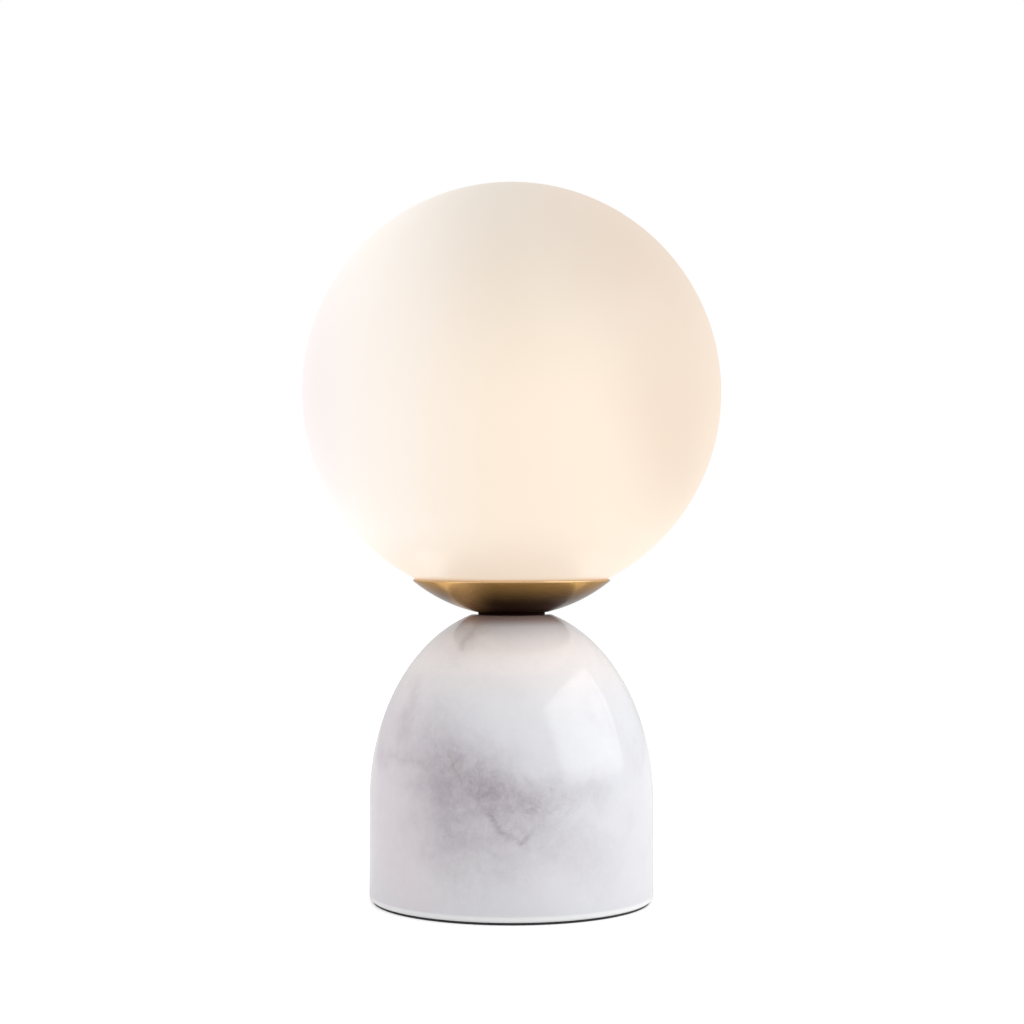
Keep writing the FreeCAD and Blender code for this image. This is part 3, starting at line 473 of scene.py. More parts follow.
@dataclass(frozen=True)
class Vein:
    """One cloudy band in the marble, drawn on the lamp's front from one point to another.

    Args:
        start: (x, z) where it begins, in millimetres.
        end: (x, z) where it ends.
        width: how far from its middle line it fades out.
        weight: how dark it is, 0 to 1.
    """

    start: Span
    end: Span
    width: float
    weight: float

    def mask(self, x: Term, z: Term) -> Term:
        """How much of the vein there is.

        Args:
            x, z: the warped place on the front.

        Returns:
            A mask of 0 to the vein's weight.
        """
        x1, z1, x2, z2, width = (value * MILLI for value in (*self.start, *self.end, self.width))
        length = math.hypot(x2 - x1, z2 - z1)
        ux, uz = (x2 - x1) / length, (z2 - z1) / length
        along = (x - x1) * ux + (z - z1) * uz
        across = abs((x - x1) * uz - (z - z1) * ux)
        ends = along.fade(-width, width / 2) * along.fade(length + width, length - width / 2)
        return across.fade(width, 0.0) * ends * self.weight


@dataclass(frozen=True)
class PolishedMarble:
    """White marble with grey-lilac clouds, darker flecks and a few fine rusty lines.

    The veins are drawn on the front. Behind, where none is, soft drifts take over.

    Args:
        white, mauve: the ground, and the tint that the wash lays over it.
        cloud, fleck, rust: colours of the clouds, of flecks and threads, and of the rusty lines.
        painted_glow, painted_shade_under_dish, edge: painted light below the dish, painted shade
        and mirrored brass right under it, and a painted highlight along the foot.
        front_fade: how far either side of the middle the veins fade out towards the back.
        shakes: noises that bend every pattern, each with how far it does in metres.
        texture, grain: coarse and fine noise in the clouds, and cloud_lift what is added to them.
        grain_middle, grain_all: the grain's middle, and how much of it is laid everywhere.
        mottle, mottle_weight, mottle_low: how uneven the mauve is.
        blush, blush_span, blush_weight: mauve patches of their own.
        flecks, fleck_span, fleck_weight: the flecks.
        threads, thread_width, thread_span, thread_weight: fine lines, and where they show.
        fleck_clouds: how far the flecks follow the clouds.
        broad, broad_span, broad_rise, broad_weights: drifts, and how they grow to the back.
        ridge, ridge_width, ridge_rise, ridge_weight: the darker lines in them.
        drift_lift: how even the drifts are.
        roughness, cloud_dull: the polish, and how far the clouds dull it.
        waves, wave_depth, wave_strength: the unevenness that polishing leaves.
        coat, coat_roughness: the wax.
        wash, clouds, speckled, rusty: where each kind of vein is drawn.
    """

    name: str = "marble_polished"
    slot: str = "marble"
    white: Colour = (0.795, 0.805, 0.845)
    mauve: Colour = (0.760, 0.700, 0.740)
    cloud: Colour = (0.395, 0.355, 0.395)
    fleck: Colour = (0.25, 0.225, 0.25)
    rust: Colour = (0.36, 0.28, 0.22)
    rust_weight: float = 0.5
    # Painted light: the globe's glow on the marble below the dish.
    painted_glow: Band = Band((0.94, 0.88, 0.87), 0.066, 0.094, 0.85)
    # Painted shade, with a painted reflection of the brass, right under the dish.
    painted_shade_under_dish: Band = Band((0.54, 0.33, 0.27), 0.0985, 0.1016, 0.8)
    # Painted highlight along the foot's chamfer.
    edge: Band = Band((0.95, 0.95, 0.96), 0.0034, 0.0024, 0.9)
    front_fade: float = 0.012
    shakes: tuple[tuple[Noise, float], ...] = (
        (Noise(30.0, 4.0, 0.6), 0.016),
        (Noise(130.0, 4.0, 0.6), 0.0055),
    )
    texture: Noise = Noise(120.0, 7.0, 0.74, 0.4)
    texture_weight: float = 1.2
    grain: Noise = Noise(330.0, 5.0, 0.78, 0.6)
    grain_weight: float = 0.9
    cloud_lift: float = -0.05
    grain_middle: float = 0.42
    grain_all: float = 0.16
    mottle: Noise = Noise(160.0, 5.0, 0.7)
    mottle_weight: float = 0.6
    mottle_low: float = 0.65
    blush: Noise = Noise(20.0, 4.0)
    blush_span: Span = (0.42, 0.75)
    blush_weight: float = 0.3
    flecks: Noise = Noise(230.0, 5.0, 0.80, 0.8)
    fleck_span: Span = (0.52, 0.66)
    fleck_weight: float = 0.34
    fleck_clouds: float = 0.3
    threads: Noise = Noise(85.0, 6.0, 0.62)
    thread_width: float = 0.022
    thread_span: Span = (0.46, 0.60)
    thread_weight: float = 0.20
    broad: Noise = Noise(16.0, 5.0, 0.6, 1.2)
    broad_span: Span = (0.48, 0.76)
    broad_rise: Span = (-0.045, 0.01)
    broad_weights: Span = (0.10, 0.35)
    ridge: Noise = Noise(11.0, 4.0, 0.55, 0.8)
    ridge_width: float = 0.05
    ridge_rise: Span = (-0.01, 0.03)
    ridge_weight: float = 0.26
    drift_lift: float = 0.3
    roughness: float = 0.10
    cloud_dull: float = 0.04
    waves: Noise = Noise(60.0, 2.0)
    wave_depth: float = 0.00004
    wave_strength: float = 0.6
    coat: float = 0.2
    coat_roughness: float = 0.08
    specular: float = 0.45
    wash: tuple[Vein, ...] = (
        Vein((-46, 74), (-38, 10), 34, 0.95),
        Vein((-14, 60), (0, 20), 26, 0.40),
    )
    clouds: tuple[Vein, ...] = (
        Vein((-34.7, 76.8), (-37.4, 60.1), 5, 0.18),
        Vein((-24.4, 62), (2.5, 32), 26, 0.44),
        Vein((-23, 57), (-7, 45), 12, 0.20),
        Vein((-10.5, 46.5), (10, 41), 10, 0.20),
        Vein((-28, 46), (-21, 22), 15, 0.26),
        Vein((-24, 40), (-6, 12), 22, 0.24),
        Vein((-4, 56), (-2, 50), 12, 0.14),
        Vein((9.5, 44.2), (31, 40), 9, 0.20),
        Vein((6, 36), (32, 19), 14, 0.18),
        Vein((-9, 41), (3, 27.5), 2.6, 0.20),
        Vein((3, 27.5), (8, 31.5), 2.2, 0.18),
        Vein((-49, 54.5), (-28, 54), 5, 0.14),
        # A darker brownish streak on the left just below the dish.
        Vein((-9, 101), (-20, 90), 6, 0.22),
        Vein((26, 78), (33, 60), 6, 0.08),
    )
    speckled: tuple[Vein, ...] = (
        Vein((-14, 50), (14, 40), 12, 0.75),
        Vein((-9, 42), (5, 27), 7, 0.65),
        Vein((-25, 60), (-12, 46), 6, 0.35),
        Vein((10, 44), (30, 36), 8, 0.30),
    )
    rusty: tuple[Vein, ...] = (
        Vein((-21, 56), (-16.3, 46.8), 0.7, 0.6),
        Vein((-44, 54), (-30, 53), 1.2, 0.2),
        # The brownish streak on the left just below the dish.
        Vein((-12, 100), (-19, 91), 2.0, 0.35),
    )

    REFRACTION = 1.55

    def material(self) -> bpy.types.Material:
        """Builds the material.

        Returns:
            The material.
        """
        recipe = Recipe(self.name)
        warped = self.warped(recipe)
        _, _, z = recipe.axes()
        texture = recipe.noise(self.texture, at=warped)
        grain = recipe.noise(self.grain)
        cloudy = self.cloudy(recipe, warped, texture, grain)
        # Painted light: the globe's glow on the marble below the dish.
        base = self.painted_glow.over(recipe, self.ground(recipe, warped), z)
        base = recipe.mix(base, self.cloud, cloudy)
        base = recipe.mix(base, self.fleck, self.speckles(recipe, warped, texture, cloudy))
        base = recipe.mix(base, self.rust, self.laid(recipe, warped, self.rusty) * self.rust_weight)
        # Painted shade and brass reflection right under the dish, and a painted highlight on the
        # foot.
        base = self.edge.over(recipe, self.painted_shade_under_dish.over(recipe, base, z), z)
        recipe.set(Base_Color=base, Roughness=self.roughness + cloudy * self.cloud_dull,
                   IOR=self.REFRACTION, Specular_IOR_Level=self.specular, Coat_Weight=self.coat,
                   Coat_Roughness=self.coat_roughness)
        recipe.bump(recipe.noise(self.waves), self.wave_depth, self.wave_strength)
        return recipe.material

    def warped(self, recipe: Recipe) -> Term:
        """The place on the object, moved by each of the shakes in turn.

        Args:
            recipe: the material being built.

        Returns:
            The warped place.
        """
        place, middle = recipe.place, (0.5, 0.5, 0.5)
        for noise, reach in self.shakes:
            way = recipe.vector("SUBTRACT", recipe.noise(noise, output="Color"), middle)
            place = recipe.vector("ADD", place, recipe.vector("MULTIPLY", way, (reach,) * 3))
        return place

    def laid(self, recipe: Recipe, place: Term, veins: tuple[Vein, ...]) -> Term:
        """Several veins laid over each other.

        Args:
            recipe: the material being built.
            place: the warped place on the object.
            veins: the veins to draw.

        Returns:
            A mask of 0 and more.
        """
        x, y, z = recipe.axes(place)
        total = sum((vein.mask(x, z) for vein in veins[1:]), veins[0].mask(x, z))
        return total * y.fade(self.front_fade, -self.front_fade)

    def cloudy(self, recipe: Recipe, place: Term, texture: Term, grain: Term) -> Term:
        """The clouds: veins in front, drifts all round, and a little grain everywhere.

        Args:
            recipe: the material being built.
            place: the warped place on the object.
            texture, grain: the coarse and the fine noise.

        Returns:
            A mask of 0 to 1.
        """
        stirred = texture * self.texture_weight + grain * self.grain_weight + self.cloud_lift
        front = self.laid(recipe, place, self.clouds) * stirred
        drifts = self.drifts(recipe, place) * (texture + self.drift_lift)
        return (front + drifts + (grain - self.grain_middle) * self.grain_all).capped()

    def drifts(self, recipe: Recipe, place: Term) -> Term:
        """Soft clouds all round the marble, fullest behind, where no vein is drawn.

        Args:
            recipe: the material being built.
            place: the warped place on the object.

        Returns:
            A mask of 0 and more.
        """
        _, y, _ = recipe.axes()
        broad = recipe.noise(self.broad, at=place).fade(*self.broad_span)
        ridge = abs(recipe.noise(self.ridge, at=place) - 0.5).fade(self.ridge_width, 0.0)
        grown = y.fade(*self.broad_rise, *self.broad_weights)
        return broad * grown + ridge * (y.fade(*self.ridge_rise) * self.ridge_weight)

    def ground(self, recipe: Recipe, place: Term) -> Term:
        """The white ground with its mauve wash.

        Args:
            recipe: the material being built.
            place: the warped place on the object.

        Returns:
            The colour.
        """
        blush = recipe.noise(self.blush).fade(*self.blush_span) * self.blush_weight
        tint = self.laid(recipe, place, self.wash) + blush
        mottle = recipe.noise(self.mottle) * self.mottle_weight + self.mottle_low
        return recipe.mix(self.white, self.mauve, (tint * mottle).capped())

    def speckles(self, recipe: Recipe, place: Term, texture: Term, cloudy: Term) -> Term:
        """Fine dark flecks and threads, most of them in the clouds.

        Args:
            recipe: the material being built.
            place: the warped place on the object.
            texture: the coarse noise.
            cloudy: the clouds' mask.

        Returns:
            A mask of 0 to 1.
        """
        where = (self.laid(recipe, place, self.speckled) + cloudy * self.fleck_clouds).capped()
        flecks = recipe.noise(self.flecks).fade(*self.fleck_span) * self.fleck_weight
        threads = abs(recipe.noise(self.threads, at=place) - 0.5).fade(self.thread_width, 0.0)
        threads = threads * texture.fade(*self.thread_span) * self.thread_weight
        return (flecks + threads).capped() * where


@dataclass(frozen=True)
class OpalGlass:
    """Satin opal glass, lit by the bulb inside.

    The light is warmest and strongest just above the bulb, and dimmer near the dish and the top.
    The left side is painted whiter and its very edge lighter, as painted light, and the right
    side, most towards its top, darker, as painted shade.

    Args:
        white: the glass itself.
        glow: the light nearest the bulb.
        far: the light far from light_centre.
        painted_left_light, edge: painted light on the left and at its very edge.
        painted_right_shade: painted shade on the right.
        right_shade_lean: how far that shaded side leans with height above ball_centre.
            right_shade_end, right_shade_eased: places along X between which it eases again, and how
                far.
        rim: the light just over the dish.
        drift, drift_reach: noise that shifts all of these, and how far in metres.
        satin, roughness, gloss_spread: the uneven gloss.
        waves, wave_depth, wave_strength: the unevenness that blowing leaves.
    """

    name: str = "opal_glass_lit"
    slot: str = "opal_glass"
    white: Colour = (0.42, 0.41, 0.395)
    glow: Colour = (0.600, 0.470, 0.335)
    far: Band = Band((0.305, 0.245, 0.180), 0.075, 0.110)
    # Painted light on the left and at its very edge.
    painted_left_light: Band = Band((0.640, 0.595, 0.560), 0.005, -0.060, 0.85)
    edge: Band = Band((0.570, 0.500, 0.510), -0.045, -0.073, 0.8)
    # Painted shade on the right.
    painted_right_shade: Band = Band((0.300, 0.150, 0.045), 0.015, 0.060, 0.58)
    rim: Band = Band((0.500, 0.370, 0.250), 0.1360, 0.1125)
    light_centre: Point = (0.0, 0.0, 0.1505)
    ball_centre: float = 0.1818
    # How the painted shade on the right leans and eases.
    right_shade_lean: float = 0.3
    right_shade_end: Span = (0.050, 0.074)
    right_shade_eased: float = 0.12
    drift: Noise = Noise(14.0, 3.0)
    drift_reach: float = 0.006
    satin: Noise = Noise(40.0, 2.0)
    roughness: float = 0.34
    gloss_spread: float = 0.06
    waves: Noise = Noise(22.0, 2.0)
    wave_depth: float = 0.0001
    wave_strength: float = 0.5
    specular: float = 0.2

    def material(self) -> bpy.types.Material:
        """Builds the material.

        Returns:
            The material.
        """
        recipe = Recipe(self.name)
        x, _, z = recipe.axes()
        drift = (recipe.noise(self.drift) - 0.5) * self.drift_reach
        distance = recipe.vector("DISTANCE", recipe.place, self.light_centre, output="Value")
        glow = self.far.over(recipe, self.glow, distance + drift)
        side = x + drift
        # Painted light: whiter on the left and lighter at its very edge.
        glow = self.edge.over(recipe, self.painted_left_light.over(recipe, glow, side), side)
        # Painted shade: darker on the right, leaning towards its top.
        leaning = side + (z - self.ball_centre) * self.right_shade_lean
        painted_right_shade = leaning.fade(self.painted_right_shade.start, self.painted_right_shade.full) * self.painted_right_shade.weight
        painted_right_shade = painted_right_shade - side.fade(*self.right_shade_end) * self.right_shade_eased
        glow = self.rim.over(recipe, recipe.mix(glow, self.painted_right_shade.colour, painted_right_shade), z + drift)
        satin = (recipe.noise(self.satin) - 0.5) * self.gloss_spread
        recipe.set(Base_Color=self.white, Roughness=self.roughness + satin,
                   Specular_IOR_Level=self.specular, Emission_Color=glow, Emission_Strength=1.0)
        recipe.bump(recipe.noise(self.waves), self.wave_depth, self.wave_strength)
        return recipe.material


@dataclass(frozen=True)
class Glowing(Finish):
    """A surface that gives light of its own.

    Args:
        glow: the light's colour, and strength how bright it is.
    """

    glow: Colour = (1.0, 0.8, 0.5)
    strength: float = 1.0

    def extra(self, recipe: Recipe) -> None:
        """Adds the light."""
        recipe.set(Emission_Color=self.glow, Emission_Strength=self.strength)


@dataclass(frozen=True)
class Striped(Finish):
    """Insulation with a second colour in a slanting stripe.

    Args:
        stripe: the second colour.
        pitch: distance between stripes in metres, and slant how far they lean.
        stripe_edge: levels of a wave between which the stripe comes in.
    """

    stripe: Colour = (0.75, 0.62, 0.05)
    pitch: float = 0.009
    slant: float = 0.7
    stripe_edge: Span = (0.25, 0.35)

    def extra(self, recipe: Recipe) -> None:
        """Lays the stripe along the lead.

        Args:
            recipe: the material being built.
        """
        x, y, z = recipe.axes()
        wave = ((x + y * self.slant + z) * (math.tau / self.pitch)).sine()
        striped = recipe.mix(self.colour, self.stripe, wave.fade(*self.stripe_edge))
        recipe.set(Base_Color=striped)


class Finishes:
    """Every finish on the lamp, each built once."""

    STEEL = dict(metallic=1.0, shade=0.2, grain=0.0004, grain_depth=0.000004)
    RECIPES = (
        PolishedMarble(),
        OpalGlass(),
        BrushedBrass("brass_spun", (0.47, 0.27, 0.085), "brass", 1.0, 0.20, gloss_spread=0.03,
                     grain_depth=0.000002, shade=0.15, specular=0.05,
                     edge_tint=(0.78, 0.66, 0.56), ring_pitch=0.00035),
        Finish("foam_black", (0.055, 0.055, 0.057), "foam", roughness=0.9, grain=0.0005,
               grain_depth=0.00008, specular=0.2),
        Finish("steel_zinc", (0.56, 0.57, 0.58), "plated_steel", roughness=0.32, **STEEL),
        Finish("rubber_black", (0.016, 0.016, 0.017), "bush_rubber", roughness=0.62,
               grain_depth=0.00002),
        TurnedMetal("brass_turned", (0.72, 0.55, 0.25), "yellow_brass", 1.0, 0.22),
        Finish("fibre_dark", (0.024, 0.007, 0.004), "fibre", roughness=0.8, grain=0.0003,
               grain_depth=0.00003, specular=0.1),
        Finish("steel_spring", (0.66, 0.65, 0.63), "spring_steel", roughness=0.22, **STEEL),
        Finish("silicone_milky", (0.62, 0.61, 0.58), "silicone", roughness=0.42,
               grain_depth=0.000008),
        Finish("ceramic_white", (0.74, 0.73, 0.70), "ceramic", roughness=0.5, grain=0.0003,
               grain_depth=0.000012, shade=0.06),
        Finish("nickel_contact", (0.62, 0.60, 0.55), "contact_metal", roughness=0.2, **STEEL),
        Finish("bulb_white", (0.78, 0.78, 0.76), "bulb_body", roughness=0.3, shade=0.04,
               grain_depth=0.000004),
        Glowing("envelope_frosted", (0.45, 0.42, 0.36), "frosted_glass", roughness=0.35,
                shade=0.03, glow=(1.0, 0.78, 0.50), strength=0.42),
        Glowing("led_board", (0.80, 0.62, 0.22), "led", roughness=0.5, glow=(1.0, 0.78, 0.42),
                strength=1.5),
        Finish("polyamide_natural", (0.72, 0.70, 0.64), "polyamide", roughness=0.38, shade=0.05),
        Finish("insulation_brown", (0.055, 0.022, 0.010), "brown_insulation", roughness=0.35),
        Finish("insulation_blue", (0.012, 0.045, 0.22), "blue_insulation", roughness=0.35),
        Striped("insulation_earth", (0.03, 0.20, 0.02), "earth_insulation", roughness=0.35),
    )

    def __init__(self) -> None:
        """Builds the materials."""
        self.by_slot = {recipe.slot: recipe.material() for recipe in self.RECIPES}

    def __getitem__(self, node: str) -> bpy.types.Material:
        """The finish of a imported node, by the slot that the record names."""
        return self.by_slot[SLOTS[node]]


# ---- geometry building -------------------------------------------------------------------------
def placed(name: str, data: bpy.types.ID) -> bpy.types.Object:
    """Puts a new object into the scene.

    Args:
        name: the object's name.
        data: its mesh, curve, light or camera.

    Returns:
        The object.
    """
    thing = bpy.data.objects.new(name, data)
    bpy.context.scene.collection.objects.link(thing)
    return thing


def settled(host: bpy.types.Object) -> bpy.types.Mesh:
    """Applies a working object's modifiers and removes it with its own mesh.

    Args:
        host: the working object.

    Returns:
        The resulting mesh, named as the object was.
    """
    bpy.context.view_layer.update()
    evaluated = host.evaluated_get(bpy.context.evaluated_depsgraph_get())
    mesh = bpy.data.meshes.new_from_object(evaluated)
    name, own = host.name, host.data
    bpy.data.objects.remove(host)
    bpy.data.meshes.remove(own)
    mesh.name = name
    return mesh


class Tree:
    """A Geometry Nodes tree with named inputs, ended by Realize Instances and Set Material."""

    def __init__(self, name: str, inputs: dict[str, str]) -> None:
        """Starts a tree.

        Args:
            name: the tree's name.
            inputs: input name to socket type, such as "Float".
        """
        self.tree = bpy.data.node_groups.new(name, "GeometryNodeTree")
        face = self.tree.interface
        face.new_socket("Geometry", in_out="OUTPUT", socket_type="NodeSocketGeometry")
        self.sockets = {}
        for label, kind in (inputs | {"Material": "Material"}).items():
            item = face.new_socket(label, in_out="INPUT", socket_type=f"NodeSocket{kind}")
            self.sockets[label] = item.identifier
        self.group_in = self.tree.nodes.new("NodeGroupInput")
        self.group_out = self.tree.nodes.new("NodeGroupOutput")

    def given(self, label: str) -> bpy.types.NodeSocket:
        """The tree's own input of that name."""
        return self.group_in.outputs[label]

    def node(self, kind: str, output: int | str = 0, **feeds: object) -> bpy.types.NodeSocket:
        """Adds a node.

        Args:
            kind: the node's type name.
            output: which output to return.
            feeds: values or sockets for its inputs, named with underscores for spaces.

        Returns:
            The chosen output.
        """
        node = self.tree.nodes.new(kind)
        for key, value in feeds.items():
            socket = node.inputs[key.replace("_", " ")]
            if isinstance(value, bpy.types.NodeSocket):
                self.tree.links.new(value, socket)
            else:
                socket.default_value = value
        return node.outputs[output]

    def finish(self, geometry: bpy.types.NodeSocket) -> "Tree":
        """Ends the tree.

        Args:
            geometry: what it has made.

        Returns:
            The tree.
        """
        whole = self.node("GeometryNodeRealizeInstances", Geometry=geometry)
        painted = self.node("GeometryNodeSetMaterial", Geometry=whole,
                            Material=self.given("Material"))
        self.tree.links.new(painted, self.group_out.inputs[0])
        return self

    def grow(self, name: str, values: dict[str, object]) -> bpy.types.Mesh:
        """Runs the tree once.

        Args:
            name: name of the mesh.
            values: input name to value.

        Returns:
            The result as a plain mesh.
        """
        host = placed(name, bpy.data.meshes.new(name))
        modifier = host.modifiers.new(name, "NODES")
        modifier.node_group = self.tree
        for label, value in values.items():
            modifier[self.sockets[label]] = value
        return settled(host)


class Outline:
    """A closed outline drawn as (radius, height) in metres, to be turned round the lamp's axis."""

    SAME_PLACE = 1e-6

    def __init__(self, radius: float, height: float) -> None:
        """Starts at a point."""
        self.points = [(radius, height)]

    def add(self, radius: float, height: float) -> None:
        """Adds a point, unless it is the last one again."""
        if math.dist((radius, height), self.points[-1]) > self.SAME_PLACE:
            self.points.append((radius, height))

    def line(self, radius: float, height: float, steps: int = 1) -> "Outline":
        """Adds a straight run.

        Args:
            radius, height: the point where it ends.
            steps: how many equal steps it is cut into.

        Returns:
            The outline.
        """
        r0, z0 = self.points[-1]
        for share in (step / steps for step in range(1, steps + 1)):
            self.points.append((r0 + (radius - r0) * share, z0 + (height - z0) * share))
        return self

    def arc(self, centre: Span, radius: float, start: float, stop: float, steps: int) -> "Outline":
        """Adds an arc.

        Args:
            centre: its middle.
            radius: its radius.
            start, stop: angles in degrees; 0 points outwards and 90 up.
            steps: how many steps it is cut into.

        Returns:
            The outline.
        """
        for step in range(steps + 1):
            angle = math.radians(start + (stop - start) * step / steps)
            self.add(centre[0] + radius * math.cos(angle), centre[1] + radius * math.sin(angle))
        return self

    def ellipse(self, base: float, semi_r: float, semi_z: float, end: float,
                steps: int) -> "Outline":
        """Adds a stretch of ellipse from its widest point upwards.

        Args:
            base: height of its middle.
            semi_r, semi_z: half its width and height.
            end: the radius at which it ends.
            steps: how many steps it is cut into.

        Returns:
            The outline.
        """
        stop = math.acos(end / semi_r)
        for angle in (stop * step / steps for step in range(steps + 1)):
            self.add(semi_r * math.cos(angle), base + semi_z * math.sin(angle))
        return self


class Workshop:
    """Tools that make meshes and hand them over as finished pieces."""

    LATHE_RADIUS = 0.1
    SAME_PLACE = 1e-6
    PACKED_SAME_PLACE = 2e-6
    FLAT_ANGLE = math.radians(1.0)
    SHARP_ANGLE = math.radians(35.0)
    BEVEL_ANGLE = math.radians(40.0)
    STEPS_IN_TURN = 32
    RIDGE_SIDES = 4

    def __init__(self) -> None:
        """Builds the finishes and the trees."""
        self.finishes = Finishes()
        self.lathe = self._lathe_tree()
        self.thread = self._thread_tree()

    def _lathe_tree(self) -> Tree:
        """Turns a profile curve round the axis.

        Returns:
            The tree.
        """
        tree = Tree("lathe", {"Profile": "Object", "Segments": "Int", "Merge": "Float"})
        given = tree.given
        profile = tree.node("GeometryNodeObjectInfo", output="Geometry", Object=given("Profile"))
        path = tree.node("GeometryNodeCurvePrimitiveCircle", Resolution=given("Segments"),
                         Radius=self.LATHE_RADIUS)
        skin = tree.node("GeometryNodeCurveToMesh", Curve=path, Profile_Curve=profile)
        closed = tree.node("GeometryNodeMergeByDistance", Geometry=skin, Distance=given("Merge"))
        return tree.finish(closed)

    def _thread_tree(self) -> Tree:
        """Winds a thread's ridge up a tube.

        Returns:
            The tree.
        """
        tree = Tree("thread", {"Radius": "Float", "Ridge": "Float", "Turns": "Float",
                               "Length": "Float", "Start": "Vector"})
        given = tree.given
        path = tree.node("GeometryNodeCurveSpiral", Resolution=self.STEPS_IN_TURN,
                         Rotations=given("Turns"), Start_Radius=given("Radius"),
                         End_Radius=given("Radius"), Height=given("Length"))
        section = tree.node("GeometryNodeCurvePrimitiveCircle", Resolution=self.RIDGE_SIDES,
                            Radius=given("Ridge"))
        skin = tree.node("GeometryNodeCurveToMesh", Curve=path, Profile_Curve=section,
                         Fill_Caps=True)
        moved = tree.node("GeometryNodeTransform", Geometry=skin, Translation=given("Start"))
        return tree.finish(moved)

    def turned(self, name: str, outline: Outline, node: str, segments: Round) -> bpy.types.Mesh:
        """Turns a closed outline into a mesh.

        Args:
            name: name of the mesh.
            outline: the closed outline, in order.
            node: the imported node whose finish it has.
            segments: how many steps go round.

        Returns:
            The closed mesh, its faces outwards.
        """
        curve = bpy.data.curves.new(name, "CURVE")
        curve.dimensions = "3D"
        spline = curve.splines.new("POLY")
        spline.points.add(len(outline.points) - 1)
        for point, (radius, height) in zip(spline.points, outline.points):
            point.co = (radius - self.LATHE_RADIUS, -height, 0.0, 1.0)
        spline.use_cyclic_u = outline.points[0][0] > 0
        profile = placed(f"{name}_profile", curve)
        mesh = self.lathe.grow(name, {"Profile": profile, "Segments": segments.value,
                                      "Merge": self.SAME_PLACE, "Material": self.finishes[node]})
        bpy.data.objects.remove(profile)
        return self.outwards(mesh)

    def outwards(self, mesh: bpy.types.Mesh) -> bpy.types.Mesh:
        """Closes a mesh's seams, turns its faces outwards and shades it.

        Args:
            mesh: the mesh, which is changed.

        Returns:
            The same mesh.
        """
        shape = bmesh.new()
        shape.from_mesh(mesh)
        bmesh.ops.remove_doubles(shape, verts=shape.verts, dist=self.SAME_PLACE)
        bmesh.ops.recalc_face_normals(shape, faces=shape.faces)
        shape.to_mesh(mesh)
        shape.free()
        return self.shaded(mesh)

    def shaded(self, mesh: bpy.types.Mesh) -> bpy.types.Mesh:
        """Shades a mesh smooth but for its sharp edges.

        Args:
            mesh: the mesh, which is changed.

        Returns:
            The same mesh.
        """
        mesh.shade_smooth()
        mesh.set_sharp_from_angle(angle=self.SHARP_ANGLE)
        return mesh

    @staticmethod
    def painted(mesh: bpy.types.Mesh, material: bpy.types.Material) -> bpy.types.Mesh:
        """Gives a mesh one material.

        Args:
            mesh: the mesh, which is changed.
            material: its only material.

        Returns:
            The same mesh.
        """
        mesh.materials.clear()
        mesh.materials.append(material)
        return mesh

    def softened(self, node: str, width: float, steps: int) -> bpy.types.Mesh:
        """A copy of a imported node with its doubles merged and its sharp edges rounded.

        Args:
            node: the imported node.
            width: how wide the rounding is, in metres.
            steps: steps across each rounding.

        Returns:
            The new mesh.
        """
        shape = bmesh.new()
        shape.from_mesh(frame["nodes"][node].data)
        bmesh.ops.remove_doubles(shape, verts=shape.verts, dist=self.PACKED_SAME_PLACE)
        bmesh.ops.dissolve_limit(shape, angle_limit=self.FLAT_ANGLE, verts=shape.verts,
                                 edges=shape.edges)
        mesh = bpy.data.meshes.new(node)
        shape.to_mesh(mesh)
        shape.free()
        host = placed(f"{node}_finished", mesh)
        bevel = host.modifiers.new("bevel", "BEVEL")
        bevel.width, bevel.segments = width, steps
        bevel.limit_method, bevel.angle_limit = "ANGLE", self.BEVEL_ANGLE
        bevel.use_clamp_overlap = True
        return self.shaded(self.painted(settled(host), self.finishes[node]))

    def bored(self, mesh: bpy.types.Mesh, cutters: list[bpy.types.Mesh]) -> bpy.types.Mesh:
        """Cuts meshes out of a mesh.

        Args:
            mesh: the mesh to cut, which is used up.
            cutters: what is cut out of it.

        Returns:
            The cut mesh.
        """
        material = mesh.materials[0]
        host = placed(mesh.name, mesh)
        tools = [placed(cutter.name, cutter) for cutter in cutters]
        for tool in tools:
            cut = host.modifiers.new(tool.name, "BOOLEAN")
            cut.operation, cut.solver, cut.object = "DIFFERENCE", "EXACT", tool
        result = settled(host)
        for tool in tools:
            bpy.data.objects.remove(tool)
        return self.outwards(self.painted(result, material))

    def joined(self, name: str, meshes: list[bpy.types.Mesh]) -> bpy.types.Mesh:
        """Joins meshes that share a material.

        Args:
            name: name of the new mesh.
            meshes: what it is made of.

        Returns:
            The new mesh.
        """
        shape = bmesh.new()
        for mesh in meshes:
            shape.from_mesh(mesh)
        whole = bpy.data.meshes.new(name)
        shape.to_mesh(whole)
        shape.free()
        return self.shaded(self.painted(whole, meshes[0].materials[0]))

    def install(self, mesh: bpy.types.Mesh, body: Body, node: str) -> None:
        """Hands a mesh over as a finished piece.

        Args:
            mesh: the mesh, whose name the piece gets.
            body: the body that it rides on.
            node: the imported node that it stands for.
        """
        piece = placed(mesh.name, mesh)
        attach(piece, body.value)
        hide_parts(node)
        log.info("%s: %d faces on %s", piece.name, len(mesh.polygons), body.value)

    def ease(self, body: Body, widths: tuple[tuple[str, float], ...], steps: int = 2) -> None:
        """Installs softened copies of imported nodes.

        Args:
            body: the body that they ride on.
            widths: each node, and how wide its rounding is in metres.
            steps: steps across each rounding.
        """
        for node, width in widths:
            self.install(self.softened(node, width, steps), body, node)

